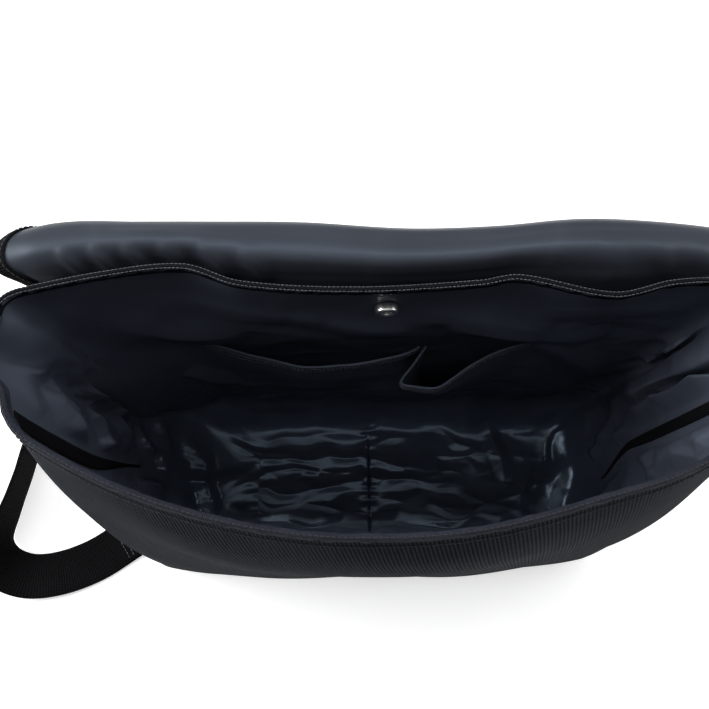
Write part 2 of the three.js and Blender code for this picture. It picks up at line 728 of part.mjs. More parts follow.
addPiece("slip_pocket", "lining", pocket(SLIP_HEM, 16));
addPiece("phone_pocket", "lining", pocket(PHONE_HEM, 18));

// Snap halves: turned profiles, the cup facing forward and the stud facing back
function turned(profile) {
  return new THREE.LatheGeometry(
    profile.map(([radius, height]) => new THREE.Vector2(radius, height)),
    SNAP_STEPS,
  );
}
const cup = turned([
  [0, 0],
  [SNAP_RADIUS, 0],
  [SNAP_RADIUS, SNAP_THICK - 0.8],
  [SNAP_RADIUS - 0.8, SNAP_THICK],
  [SNAP_HOLE + 0.4, SNAP_THICK],
  [SNAP_HOLE, SNAP_THICK - 0.4],
  [SNAP_HOLE, 1.2],
  [0, 1.2],
]);
const stud = turned([
  [0, 0],
  [SNAP_RADIUS, 0],
  [SNAP_RADIUS, SNAP_STUD_BASE - 0.8],
  [SNAP_RADIUS - 0.8, SNAP_STUD_BASE],
  [SNAP_STUD, SNAP_STUD_BASE],
  [SNAP_STUD, SNAP_STUD_BASE + SNAP_STUD_LONG - 0.6],
  [SNAP_STUD - 0.6, SNAP_STUD_BASE + SNAP_STUD_LONG],
  [0, SNAP_STUD_BASE + SNAP_STUD_LONG],
]);
// A snap half laid on the lining at a column of the wall, its axis pointing into the bag
function seatSnap(geometry, column) {
  const i = column;
  const top = wallPoint(i, topRow, LINING_IN);
  const below = wallPoint(i, topRow - 2, LINING_IN);
  const t = (top.z - SNAP_Z) / (top.z - below.z);
  const seat = top.clone().lerp(below, t);
  const inward = wallOut[i][topRow - 1].clone().negate();
  const turn = new THREE.Quaternion().setFromUnitVectors(new THREE.Vector3(0, 1, 0), inward);
  geometry.applyQuaternion(turn);
  seat.addScaledVector(inward, SEAM_GAP + 0.5);
  geometry.translate(SNAP_X, seat.y, seat.z);
  return geometry;
}
addPiece("snap_back", "nickel", seatSnap(cup, backFrom + BACK_STEPS / 2));
addPiece("snap_front", "nickel", seatSnap(stud, FRONT_STEPS / 2));

// Strap: a flat band swept along its route
function bandSolid(stations, wide, thick) {
  const profile = [
    new THREE.Vector2(-wide / 2, -thick / 2),
    new THREE.Vector2(wide / 2, -thick / 2),
    new THREE.Vector2(wide / 2, thick / 2),
    new THREE.Vector2(-wide / 2, thick / 2),
  ];
  const rings = stations.map(({ centre, across, face }) =>
    profile.map((p) => centre.clone().addScaledVector(across, p.x).addScaledVector(face, p.y)),
  );
  return barSolid(rings, profile);
}

function strapCentre(t) {
  const tilt = THREE.MathUtils.degToRad(rowValue(STRAP_ROUTE, t, "tilt"));
  const edge = (STRAP_WIDE / 2) * Math.sin(tilt) + (STRAP_THICK / 2) * Math.cos(tilt);
  const z = STRAP_CLEAR + edge + rowValue(STRAP_ROUTE, t, "lift");
  return new THREE.Vector3(rowValue(STRAP_ROUTE, t, "x"), rowValue(STRAP_ROUTE, t, "y"), z);
}

const strapStations = [];
for (let i = 0; i <= STRAP_STEPS; i += 1) {
  const t = i / STRAP_STEPS;
  const compass = THREE.MathUtils.degToRad(rowValue(STRAP_ROUTE, t, "across"));
  const tilt = THREE.MathUtils.degToRad(rowValue(STRAP_ROUTE, t, "tilt"));
  const centre = strapCentre(t);
  const heading = strapCentre(Math.min(t + 0.004, 1)).sub(strapCentre(Math.max(t - 0.004, 0))).normalize();
  const rise = new THREE.Vector3(
    Math.cos(compass) * Math.cos(tilt),
    Math.sin(compass) * Math.cos(tilt),
    Math.sin(tilt),
  );
  const across = rise.addScaledVector(heading, -rise.dot(heading)).normalize();
  const face = heading.clone().cross(across).normalize();
  strapStations.push({ centre, across, face });
}
addPiece("strap", "webbing", bandSolid(strapStations, STRAP_WIDE, STRAP_THICK));

// Tab over the strap's lower end, reaching out from the wall above it
const tabRoot = new THREE.Vector3(-209, -35, TAB_RISE + TAB_THICK / 2 + 2.2);
const tabOut = new THREE.Vector3(-0.83, -0.56, 0);
const tabAcross = new THREE.Vector3(0.56, -0.83, 0);
const tabStations = [0, 0.35, 0.7, 1].map((t) => {
  const centre = tabRoot.clone().addScaledVector(tabOut, TAB_LONG * t);
  centre.z = TAB_RISE + TAB_THICK / 2 + 2.2 * (1 - t) ** 2;
  return { centre, across: tabAcross, face: new THREE.Vector3(0, 0, -1) };
});
addPiece("strap_tab", "webbing", bandSolid(tabStations, TAB_WIDE, TAB_THICK));

export default part;
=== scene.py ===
# %% [markdown]
# # A soft front bag in cloth, tape and thread
# The packed model gives the bag's exact shape as plain solids. This lesson sews the real
# thing over it: every cloth panel becomes a dense surface worked out with numpy, in the same
# frame and in the same place, and gets a woven finish.
# The solids could also be subdivided, but a flat facet has no folds to subdivide, so each
# panel is computed again from the same few numbers that the solids were cut from.

# %% Load the fixed frame
import math

import bpy
import numpy as np
from mathutils import Matrix


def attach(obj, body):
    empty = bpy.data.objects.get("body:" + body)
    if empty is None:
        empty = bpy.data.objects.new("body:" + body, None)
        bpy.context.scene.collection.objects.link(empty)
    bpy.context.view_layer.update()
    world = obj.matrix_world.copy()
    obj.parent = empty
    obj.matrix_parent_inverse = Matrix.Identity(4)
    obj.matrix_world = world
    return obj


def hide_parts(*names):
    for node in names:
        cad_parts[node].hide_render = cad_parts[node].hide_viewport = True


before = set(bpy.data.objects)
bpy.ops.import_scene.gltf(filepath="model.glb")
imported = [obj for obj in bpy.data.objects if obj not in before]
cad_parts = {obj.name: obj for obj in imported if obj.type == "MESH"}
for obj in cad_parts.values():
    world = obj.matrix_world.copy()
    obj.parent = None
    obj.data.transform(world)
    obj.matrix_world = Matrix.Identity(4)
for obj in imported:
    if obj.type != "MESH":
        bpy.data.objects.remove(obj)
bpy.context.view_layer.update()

# %% [markdown]
# ## Smooth tables
# A sewing pattern is a list of a few measured places. Spline objects could hold them, but a
# small function that draws a cubic through the places gives whole arrays at once, and two
# neighbouring panels that read the same table always meet.
# All lengths are in millimetres until the mesh is made.

# %% Cubic through a table, curve through rows, soft switch, directions
MM = 0.001


def smooth_table(at, places, values):
    """A cubic between table rows: it passes through every value, and its slope at a row
    is the slope of the straight line between that row's two neighbours."""
    places, values = np.asarray(places, float), np.asarray(values, float)
    at = np.clip(at, places[0], places[-1])
    rise = np.diff(values) / np.diff(places)
    middle = (values[2:] - values[:-2]) / (places[2:] - places[:-2])
    slope = np.concatenate([rise[:1], middle, rise[-1:]])
    i = np.clip(np.searchsorted(places, at, side="right") - 1, 0, len(places) - 2)
    span = places[i + 1] - places[i]
    t = (at - places[i]) / span
    start = (2 * t**3 - 3 * t**2 + 1) * values[i] + (t**3 - 2 * t**2 + t) * span * slope[i]
    end = (3 * t**2 - 2 * t**3) * values[i + 1] + (t**3 - t**2) * span * slope[i + 1]
    return start + end


def row_curve(table, t):
    """A Catmull-Rom curve through the rows of a table, the rows taken as evenly spaced:
    each piece is the cubic whose slope at a row is half the step between its neighbours."""
    place = np.clip(t, 0, 1) * (len(table) - 1)
    i = np.minimum(place.astype(int), len(table) - 2)
    f = (place - i)[..., None]
    a, b, c, d = (table[np.clip(i + k, 0, len(table) - 1)] for k in (-1, 0, 1, 2))
    square, cube = 2 * a - 5 * b + 4 * c - d, 3 * b - a - 3 * c + d
    return 0.5 * (2 * b + (c - a) * f + square * f**2 + cube * f**3)


def soft_switch(value, low, high):
    """0 below low, 1 above high, and between them three times the square less twice the cube."""
    t = np.clip((value - low) / (high - low), 0, 1)
    return t * t * (3 - 2 * t)


def unit(vectors):
    """Vectors divided by their own lengths."""
    return vectors / np.maximum(np.linalg.norm(vectors, axis=-1, keepdims=True), 1e-9)


def running(line):
    """Length along a line of points, from its start to each of them."""
    return np.concatenate([[0], np.cumsum(np.linalg.norm(np.diff(line, axis=0), axis=1))])


print("a table of 0, 10, 0 at its quarter:", smooth_table(np.array([0.5]), [0, 1, 2], [0, 10, 0]))

# %% [markdown]
# ## From a grid of points to a sewn sheet
# Cloth has two faces and a thin cut edge. Solidify could thicken one grid, but here both
# faces are known, so the sheet is closed directly: two grids, joined round their edges.
# The UV map holds real metres of cloth, so that a weave keeps its size on every panel.

# %% Mesh makers
SHARP_TURN = math.radians(70)
PIECES = {}


def grid_length(points, axis):
    """Running length in metres along one direction of a grid, as the mean over the other."""
    step = np.linalg.norm(np.diff(points, axis=axis), axis=-1).mean(axis=1 - axis)
    return np.concatenate([[0.0], np.cumsum(step)]) * MM


def outward(points, closed=False):
    """Unit normals of a grid: the step across its columns crossed with the step up its rows."""
    across = np.roll(points, -1, 0) - np.roll(points, 1, 0) if closed else np.gradient(points, axis=0)
    return unit(np.cross(across, np.gradient(points, axis=1)))


def cell_grid(columns, rows):
    """Column and row of every cell of a grid, as two flat arrays."""
    return (a.ravel() for a in np.meshgrid(np.arange(columns), np.arange(rows), indexing="ij"))


def put_mesh(name, points, faces, uvs, finish, slot, *nodes):
    """Fill a mesh from arrays: points, groups of equal-sized faces, and a UV for every corner.
    Edges that turn more than the sharp angle are cut edges, and stay sharp. Six times the
    volume is the sum of the triple products of each quad's two triangles; if it is negative,
    all faces are turned round, so that they point outwards."""
    a, b, c, d = (points[faces[0][:, k]] for k in range(4))
    volume = (a * np.cross(b, c)).sum() + (a * np.cross(c, d)).sum()
    if volume < 0:
        faces, uvs = [f[:, ::-1] for f in faces], [w[:, ::-1] for w in uvs]
    sizes = np.concatenate([np.full(len(f), f.shape[1]) for f in faces])
    corners = np.concatenate([f.ravel() for f in faces])
    places = np.concatenate([w.reshape(-1, 2) for w in uvs])
    mesh = bpy.data.meshes.new(name)
    mesh.vertices.add(len(points))
    mesh.vertices.foreach_set("co", (points * MM).astype(np.float32).ravel())
    mesh.loops.add(len(corners))
    mesh.loops.foreach_set("vertex_index", corners.astype(np.int32))
    mesh.polygons.add(len(sizes))
    mesh.polygons.foreach_set("loop_start", (np.cumsum(sizes) - sizes).astype(np.int32))
    mesh.update(calc_edges=True)
    mesh.uv_layers.new(name="cloth").data.foreach_set("uv", places.astype(np.float32).ravel())
    mesh.polygons.foreach_set("use_smooth", np.ones(len(sizes), bool))
    mesh.set_sharp_from_angle(angle=SHARP_TURN)
    mesh.materials.append(finish)
    mesh.validate()
    piece = PIECES[name] = bpy.data.objects.new(name, mesh)
    bpy.context.collection.objects.link(piece)
    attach(piece, "root")
    if nodes:
        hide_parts(*nodes)
    print(name, len(points), "points", int((sizes - 2).sum()), "triangles")


def sheet_corners(columns, rows):
    """Corners (column, row, layer) of the quads of a two-layer sheet: the outer face with its
    columns to the right and rows up, the inner face turned round, and a strip on each edge."""
    last, top = columns - 1, rows - 1
    i, j = cell_grid(last, top)
    e, r = np.arange(last), np.arange(top)

    def quad(*corners):
        """Four corners, each a column, a row and a layer, as one array of quads."""
        return np.stack([np.stack(np.broadcast_arrays(*corner), -1) for corner in corners], 1)

    return np.concatenate([
        quad((i, j, 0), (i + 1, j, 0), (i + 1, j + 1, 0), (i, j + 1, 0)),
        quad((i, j, 1), (i, j + 1, 1), (i + 1, j + 1, 1), (i + 1, j, 1)),
        quad((e, 0, 0), (e, 0, 1), (e + 1, 0, 1), (e + 1, 0, 0)),
        quad((e, top, 0), (e + 1, top, 0), (e + 1, top, 1), (e, top, 1)),
        quad((0, r, 0), (0, r + 1, 0), (0, r + 1, 1), (0, r, 1)),
        quad((last, r, 0), (last, r, 1), (last, r + 1, 1), (last, r + 1, 0)),
    ])


def sew_sheet(name, outer, inner, finish, slot, *nodes):
    """A closed sheet between two equal grids of points (columns, rows, xyz)."""
    columns, rows = outer.shape[:2]
    u, v = grid_length(outer, 0), grid_length(outer, 1)
    c, r, layer = np.moveaxis(sheet_corners(columns, rows), -1, 0)
    faces = layer * columns * rows + c * rows + r
    points = np.concatenate([outer.reshape(-1, 3), inner.reshape(-1, 3)])
    put_mesh(name, points, [faces], [np.stack([u[c], v[r]], -1)], finish, slot, *nodes)


def sweep_bar(name, rings, finish, slot, *nodes):
    """A closed profile carried along a path: quads between neighbouring rings, the first and
    last ring filled as one face each."""
    stations, count = rings.shape[:2]
    run = np.concatenate([rings, rings[:, :1]], 1)
    u, v = grid_length(run, 0), grid_length(run, 1)
    i, j = cell_grid(stations - 1, count)
    s, k = np.stack([i, i, i + 1, i + 1], 1), np.stack([j, j + 1, j + 1, j], 1)
    faces = s * count + k % count
    ends = np.stack([np.arange(count)[::-1], np.arange(count) + (stations - 1) * count])
    uvs = [np.stack([u[s], v[k]], -1), np.zeros((2, count, 2))]
    put_mesh(name, rings.reshape(-1, 3), [faces, ends], uvs, finish, slot, *nodes)


print("sheet of 3 by 3 points has", len(sheet_corners(3, 3)), "faces")

# %% [markdown]
# ## Thread
# Topstitching is what makes a bag look sewn. A bump map could fake it, but close up a stitch
# is a small raised sausage of thread, so each one is a capsule with a few dozen faces, laid
# along a line and lifted off the cloth by its own radius. One array holds all the stitches of
# a seam.

# %% Stitch rows along lines
STITCH_PITCH, STITCH_LONG, STITCH_RADIUS = 3.3, 2.7, 0.36
STITCH_RINGS = np.array([0.1, 0.28, 0.5, 0.72, 0.9])
SIDES, RINGS = 6, len(STITCH_RINGS)
STITCH_UV = (0.0007, 0.0004)
stitch_turn = np.linspace(0, 2 * np.pi, SIDES, endpoint=False)[:, None]
stitch_lean = np.pi * STITCH_RINGS[None, :]
girth = np.sin(stitch_lean) ** 0.6
stitch_axes = (-0.5 * np.cos(stitch_lean), girth * np.cos(stitch_turn), girth * np.sin(stitch_turn))
stitch_form = np.stack(np.broadcast_arrays(*stitch_axes), -1)


def stitch_points(line, out, radius, pitch):
    """Capsules along a line: the line is cut into equal pitches, and each capsule's axis
    follows the line, one of its sides the outward direction, the other the cross of the two."""
    run = running(line)
    count = max(int(run[-1] / pitch), 1)
    at = (np.arange(count) + 0.5) * run[-1] / count

    def along(values):
        """Values of the line's points, read off straight between them at the stitches."""
        return np.stack([np.interp(at, run, values[:, k]) for k in range(3)], -1)

    heading = unit(along(np.gradient(line, axis=0)))
    side = unit(np.cross(heading, along(out)))
    stations = (along(line), heading, side, np.cross(side, heading))
    centre, heading, side, up = (v[:, None, None] for v in stations)
    lay = centre + heading * stitch_form[..., :1] * STITCH_LONG * pitch / STITCH_PITCH
    return lay + radius * (up * (0.25 + stitch_form[..., 1:2]) + side * stitch_form[..., 2:])


def sew_thread(name, lines, finish, radius=STITCH_RADIUS, pitch=STITCH_PITCH, slot="hem"):
    """All stitches of several lines in one mesh: six-sided capsules, their ends filled."""
    stitches = np.concatenate([stitch_points(line, out, radius, pitch) for line, out in lines])
    first = np.arange(len(stitches))[:, None, None] * SIDES * RINGS
    i, j = cell_grid(SIDES, RINGS - 1)
    c, r = np.stack([i, i + 1, i + 1, i], 1), np.stack([j, j, j + 1, j + 1], 1)
    quads = (first + ((c % SIDES) * RINGS + r)[None]).reshape(-1, 4)
    ends = np.arange(SIDES) * RINGS
    caps = (first + np.stack([ends[::-1], ends + RINGS - 1])[None]).reshape(-1, SIDES)
    quad_uv = np.tile(np.stack([r, c], -1) * np.array(STITCH_UV), (len(stitches), 1, 1))
    uvs = [quad_uv, np.zeros((*caps.shape, 2))]
    put_mesh(name, stitches.reshape(-1, 3), [quads, caps], uvs, finish, slot)


print("one stitch has", SIDES * (RINGS - 1) + 2, "faces")

# %% [markdown]
# ## Shader maths as expressions
# A woven finish is arithmetic on a place on the cloth. The node editor can do it, but a row
# of Math nodes is hard to read. Wrapping a socket in a small class lets the same nodes be
# written as a formula.

# %% A wire that can be added and multiplied
class Wire:
    """A socket in a material's nodes that takes part in arithmetic."""

    def __init__(self, tree, socket=None):
        self.tree = tree
        self.socket = socket

    def node(self, kind, settings=None, inputs=None, output=0):
        """Any node: its settings first, then values or wires for its input sockets."""
        made = self.tree.nodes.new(kind)
        for key, value in (settings or {}).items():
            setattr(made, key, value)
        for key, value in (inputs or {}).items():
            if isinstance(value, Wire):
                self.tree.links.new(value.socket, made.inputs[key])
            else:
                made.inputs[key].default_value = value
        return Wire(self.tree, made.outputs[output])

    def maths(self, operation, *values):
        """One Math node on wires and numbers."""
        return self.node("ShaderNodeMath", {"operation": operation}, dict(enumerate(values)))

    def __add__(self, other):
        return self.maths("ADD", self, other)

    __radd__ = __add__

    def __mul__(self, other):
        return self.maths("MULTIPLY", self, other)

    __rmul__ = __mul__

    def __sub__(self, other):
        return self.maths("SUBTRACT", self, other)

    def __rsub__(self, other):
        return self.maths("SUBTRACT", other, self)

    def sin(self):
        """The sine of the wire, in radians."""
        return self.maths("SINE", self)

    def waves(self, pitch):
        """The sine of a place, with one wave for each pitch in metres."""
        return (self * (2 * math.pi / pitch)).sin()

    def size(self):
        """The wire without its sign."""
        return self.maths("ABSOLUTE", self)

    def axis(self, number):
        """One component of a place."""
        return self.node("ShaderNodeSeparateXYZ", {}, {0: self}, number)

    def between(self, low, high):
        """Rescaled so that low gives 0 and high gives 1, held to that range."""
        inputs = {"Value": self, "From Min": low, "From Max": high}
        return self.node("ShaderNodeMapRange", {"clamp": True}, inputs)

    def tint(self, dark, light):
        """A colour from dark where the wire is 0 to light where it is 1."""
        inputs = {"Factor": self, 6: (*dark, 1), 7: (*light, 1)}
        return self.node("ShaderNodeMix", {"data_type": "RGBA"}, inputs, 2)

    def noise(self, scale, detail=2.0):
        """Cloudy noise on this place, about 0 to 1."""
        inputs = {"Vector": self, "Scale": scale, "Detail": detail, "Roughness": 0.5}
        return self.node("ShaderNodeTexNoise", {}, inputs)

    def streaks(self, *scale):
        """Noise on this place, with a scale of its own along each axis."""
        return self.node("ShaderNodeMapping", {}, {"Vector": self, "Scale": scale}).noise(1.0)


def start_finish(name):
    """A new material, the cloth's place in metres (u, v) and the place in the object."""
    finish = bpy.data.materials.new(name)
    finish.use_nodes = True
    bare = Wire(finish.node_tree)
    cloth = bare.node("ShaderNodeUVMap", {"uv_map": "cloth"})
    return finish, cloth, bare.node("ShaderNodeTexCoord", {}, {}, "Object")


def feed_finish(finish, colour, rough, height, depth, **constants):
    """Colour and roughness wires, and a height wire through Bump, depth in metres, feed the
    finish's shader. Constants are set on the shader's own sockets."""
    tree = finish.node_tree
    shader = tree.nodes["Principled BSDF"]
    bump = colour.node("ShaderNodeBump", {}, {"Strength": 1.0, "Distance": depth, "Height": height})
    for name, wire in (("Base Color", colour), ("Roughness", rough), ("Normal", bump)):
        tree.links.new(wire.socket, shader.inputs[name])
    for name, value in constants.items():
        shader.inputs[name.replace("_", " ")].default_value = value
    return finish


print("wires ready:", [name for name in vars(Wire) if not name.startswith("_")])

# %% [markdown]
# ## Ballistic outer cloth
# The walls are a coarse plain weave of navy-black nylon: thick yarns about a millimetre wide
# cross over and under, with paler flecks where a yarn comes up to the light. An image texture
# would tile; two sine waves multiplied give the same over-and-under at any size, and stretched
# noise makes some yarns lighter than others.

# %% Outer cloth
YARN_ACROSS, YARN_ALONG, YARN_SLANT = 0.0022, 0.0016, 700.0


def weave_finish(name, dark, light, rough, depth):
    """Slanted ribs crossed by finer ones: the sine of the place across, slanted by the place
    along, and its product with a sine along; noise stretched along each yarn gives it its own
    shade."""
    finish, cloth, place = start_finish(name)
    u, v = cloth.axis(0), cloth.axis(1)
    rib = (u * (2 * math.pi / YARN_ACROSS) + v * YARN_SLANT).sin()
    over = rib * v.waves(YARN_ALONG)
    yarns = cloth.streaks(700, 18, 1) + cloth.streaks(18, 900, 1)
    fleck = rib * 0.3 + over * 0.2 + 0.5
    shade = fleck + (yarns - 1.0) * 0.5 + (place.noise(9.0, 3.0) - 0.5) * 0.5 - 0.05
    colour = shade.between(0.0, 1.0).tint(dark, light)
    return feed_finish(finish, colour, (1 - fleck) * 0.15 + rough, fleck, depth, Specular_IOR_Level=0.02)


outer_cloth = weave_finish("outer_cloth", (0.0006, 0.001, 0.002), (0.030, 0.0345, 0.046), 0.65, 0.0005)
print("outer cloth", len(outer_cloth.node_tree.nodes), "nodes")

# %% [markdown]
# ## Taffeta lining and flap satin
# The lining is thin navy-black taffeta. Its threads are too fine to see, but it shines, most
# on the floor. Its colour is painted paler high on the walls, as painted light, and darker low
# down and on the floor, as painted shade, and the same ramp makes it rougher high up. The folds
# are real shape in the mesh; bump adds only a few small creases and the fine rib of the weave.
# The flap's satin is the same recipe with a duller shine; its two heights lie below the bag, so
# that the painted light covers all of it and it is evenly pale.

# %% Lining
LINING_SHINE = (0.62, 0.79, 1.0, 1.0)


def taffeta_finish(name, dark, light, rough, worn, wall, shine):
    """Creases are where a noise passes its middle: 1 less the distance from the middle. Between
    the two heights of wall the colour goes from dark to pale, painted shade low down and
    painted light high up, and the roughness rises by worn."""
    finish, cloth, place = start_finish(name)
    crease = 1 - (place.noise(15.0, 1.0) - 0.5).size() * 12.0
    rib = cloth.axis(1).waves(0.0007) * 0.5 + cloth.axis(0).waves(0.0006) * 0.5
    cloud = place.noise(14.0, 3.0)
    # painted light and shade: colour paler high on the walls, darker low down and on the floor; the same
    # ramp also raises roughness
    painted_light_ramp = place.axis(2).between(*wall)
    mottle = (crease.between(0.0, 1.0) * 0.2 + cloud * 0.8).between(0.2, 0.9)
    colour = (mottle * 0.5 + painted_light_ramp * 0.5).tint(dark, light)
    height = crease.between(0.1, 1.0) * 0.5 + rib * 0.02 + cloud * 0.25
    gloss = {"Specular_IOR_Level": shine, "Specular_Tint": LINING_SHINE}
    return feed_finish(finish, colour, cloud * 0.08 + painted_light_ramp * worn + rough, height, 0.0003, **gloss)


lining_taffeta = taffeta_finish(
    "lining_taffeta", (0.026, 0.033, 0.050), (0.068, 0.077, 0.102), 0.14, 0.33, (0.05, 0.16), 0.45
)
flap_satin = taffeta_finish(
    "flap_satin", (0.017, 0.020, 0.027), (0.043, 0.048, 0.061), 0.42, 0.0, (-0.2, -0.1), 0.25
)
print("lining", len(lining_taffeta.node_tree.nodes), "nodes")

# %% [markdown]
# ## Hem tape, binding and webbing
# The other cloths are ribbed tapes. Each could have nodes of its own, but they share one
# recipe, ribs along and across with a cloudy change of shade, and differ only in pitch, depth,
# colour and gloss.

# %% Ribbed finishes
def ribbed_finish(name, dark, light, across, along, rough, depth):
    """Ribs: a sine along the cloth times a weaker sine across it; both pitches in metres."""
    finish, cloth, place = start_finish(name)
    rib, cross = cloth.axis(0).waves(across), cloth.axis(1).waves(along)
    cloud, grit = place.noise(16.0, 3.0), place.noise(420.0, 2.0)
    shade = (rib * 0.16 + cross * 0.16 + 0.32) + (cloud - 0.5) * 0.7 + (grit - 0.5) * 0.45
    colour = shade.between(-0.1, 0.95).tint(dark, light)
    height = rib * cross * 0.3 + rib * 0.35 + cross * 0.25 + grit * 0.2
    return feed_finish(finish, colour, cloud * 0.12 + rough, height, depth, Specular_IOR_Level=0.05)


HEM_RIBS = (0.0011, 0.0009, 0.6, 0.00018)
hem_tape = ribbed_finish("hem_tape", (0.008, 0.009, 0.013), (0.042, 0.047, 0.064), *HEM_RIBS)
back_tape = ribbed_finish("back_tape", (0.002, 0.0025, 0.004), (0.009, 0.010, 0.014), *HEM_RIBS)
edge_tape = ribbed_finish(
    "edge_tape", (0.0015, 0.0015, 0.002), (0.012, 0.012, 0.014), 0.0016, 0.0013, 0.66, 0.0004
)
strap_webbing = ribbed_finish(
    "strap_webbing", (0.0015, 0.0015, 0.002), (0.008, 0.008, 0.009), 0.0021, 0.0024, 0.7, 0.0005
)
print("ribbed finishes", [m.name for m in (hem_tape, back_tape, edge_tape, strap_webbing)])

# %% [markdown]
# ## Thread and nickel
# Thread is a twisted yarn: slanted bands of light and dark round each stitch. The snap is
# nickel plate, polished but handled. A plain metal would look new, so noise varies its gloss
# and adds fine scratches.

# %% Thread and metal
def thread_finish(name, dark, light):
    """Twist: a sine of the sum of the places along and around the stitch."""
    finish, cloth, place = start_finish(name)
    twist = (cloth.axis(0) + cloth.axis(1) * 0.8).waves(0.0009) * 0.5 + 0.5
    cloud = place.noise(60.0, 2.0)
    colour = (twist * 0.55 + cloud * 0.6 - 0.1).between(0.0, 1.0).tint(dark, light)
    return feed_finish(finish, colour, cloud * 0.1 + 0.5, twist, 0.0001)


def metal_finish(name, dark, light):
    """Scratches: noise stretched across the face; gloss clouds from a slower noise."""
    finish, _, place = start_finish(name)
    cloud, scratch = place.noise(240.0, 3.0), place.streaks(300, 300, 4000)
    colour = (cloud * 0.6 + scratch * 0.4).between(0.3, 0.7).tint(dark, light)
    return feed_finish(finish, colour, cloud * 0.16 + scratch * 0.1 + 0.16, scratch, 0.00001, Metallic=1.0)


hem_thread = thread_finish("hem_thread", (0.05, 0.053, 0.062), (0.15, 0.157, 0.18))
dark_thread = thread_finish("dark_thread", (0.003, 0.003, 0.005), (0.020, 0.021, 0.026))
snap_nickel = metal_finish("snap_nickel", (0.66, 0.66, 0.64), (0.93, 0.92, 0.90))
print("thread and metal ready")

# %% [markdown]
# ## The wall as one ring
# The bag's four walls are one sleeve of cloth: front, right end, back and left end. The bag
# could be lofted from curve objects, but as a function of two parameters, the place around
# and the height, the sleeve gives points and outward directions anywhere, and each panel,
# lining and tape just asks for its own part of it.

# %% Sections of the sleeve
RIM, WALL, LINING_IN, BASE_ROUND = 290.0, 1.6, 3.0, 14.0
FRONT_CORNER, BACK_CORNER = 16.0, 14.0
# At each height: half the length, the back line, the front line in the middle and at the ends,
# the power of the front's bow, the bulge of the ends and the share of the rim's waves
SECTION_Z = [14, 60, 120, 180, 235, 262, 280, 290]
SECTIONS = {
    "half": [195, 202, 208, 211, 212, 212, 211.5, 211],
    "back": [80, 82, 82, 82, 80, 78.5, 77, 76],
    "mid": [-76.5, -78.5, -80.5, -81.5, -82, -77.5, -70, -66],
    "end": [-65, -57, -45, -32, -19, -12.5, -8.3, -6],
    "bow": [5.0, 4.2, 3.6, 2.8, 2.3, 2.1, 2.05, 2.0],
    "bulge": [0, 2, 4, 6, 11, 13.5, 14.5, 15],
    "wave": [0, 0, 0, 0.05, 0.35, 0.65, 0.9, 1],
}
BACK_WAVE_X = [-225, -164, -119, -87, -22, 49, 72, 126, 160, 190, 211]
BACK_PUSH = [-6, 6, 10, 0, -4, 0, 3, -7, 0, 1, -6]
BACK_LIFT = [2, 5, 6, 5, 5, 5, 6, 4, 5, 4, 2]
FRONT_WAVE_X = [-211, -150, -60, 0, 100, 150, 211]
FRONT_PUSH = [0, -3, -2, 0, 1, -3, 0]
FRONT_LIFT = [0, 1, 1, -1, 1, 1, 0]
SEAM_LEFT, SEAM_RIGHT, FRONT_SKEW, LEFT_SPREAD = 11.0, 20.0, 4.0, 14.0
FRONT_N, END_N, BACK_N = 300, 60, 170
SIDE_SHARE, TURN_SHARE, CORNER_SHARE = 0.12, 0.05, 0.06
FRONT_AT, RIGHT_AT, BACK_AT, LEFT_AT = 0, FRONT_N, FRONT_N + END_N, FRONT_N + END_N + BACK_N
AROUND = LEFT_AT + END_N


def section(key, z):
    """One measure of the section at heights z."""
    return smooth_table(z, SECTION_Z, SECTIONS[key])


def back_push(x):
    """How far the rim's waves push the back wall out, across x."""
    return smooth_table(x, BACK_WAVE_X, BACK_PUSH)


def bow_y(x, half, mid, end, bow):
    """Front of a section: mid + (end - mid) * (|x| / half) ** bow, set back a little at the right."""
    return mid + (end - mid) * (np.abs(x) / half) ** bow + FRONT_SKEW * soft_switch(x, 30, 150)


def front_line(t, half, mid, end, bow):
    """Front panel in plan, from the left seam to the right one: straight along the end, a
    quadratic Bezier round an elbow in the corner, the bow, and the same again."""
    side, d = np.where(t < 0.5, -1.0, 1.0), np.minimum(t, 1 - t)
    corner = half - FRONT_CORNER
    near = bow_y(side * corner, half, mid, end, bow)
    elbow = near + (near - bow_y(side * (corner - 1), half, mid, end, bow)) * FRONT_CORNER
    w = 1 - np.clip((d - SIDE_SHARE) / TURN_SHARE, 0, 1)
    x = side * np.minimum(corner * (0.5 - d) / (0.5 - SIDE_SHARE - TURN_SHARE), corner)
    turn_x = side * (half - (1 - w) ** 2 * FRONT_CORNER)
    turn_y = (1 - w) ** 2 * near + 2 * w * (1 - w) * elbow + w**2 * (elbow + 0.8 * FRONT_CORNER)
    x, y = np.where(w > 0, turn_x, x), np.where(w > 0, turn_y, bow_y(x, half, mid, end, bow))
    seam = np.where(side < 0, SEAM_LEFT, SEAM_RIGHT)
    return x, np.where(d < SIDE_SHARE, seam + (y - seam) * d / SIDE_SHARE, y)


def back_line(t, half, back):
    """Back panel in plan, run from right to left: a straight line with a quadratic Bezier at
    each end, its elbow in the corner."""
    x = (1 - 2 * t) / (1 - 2 * CORNER_SHARE) * (half - BACK_CORNER)
    w = np.clip((np.abs(t - 0.5) - 0.5 + CORNER_SHARE) / CORNER_SHARE, 0, 1)
    bx = (1 - w) ** 2 * (half - BACK_CORNER) + (2 * w * (1 - w) + w**2) * half
    return np.where(w > 0, np.sign(0.5 - t) * bx, x), back - w**2 * BACK_CORNER + 0 * x


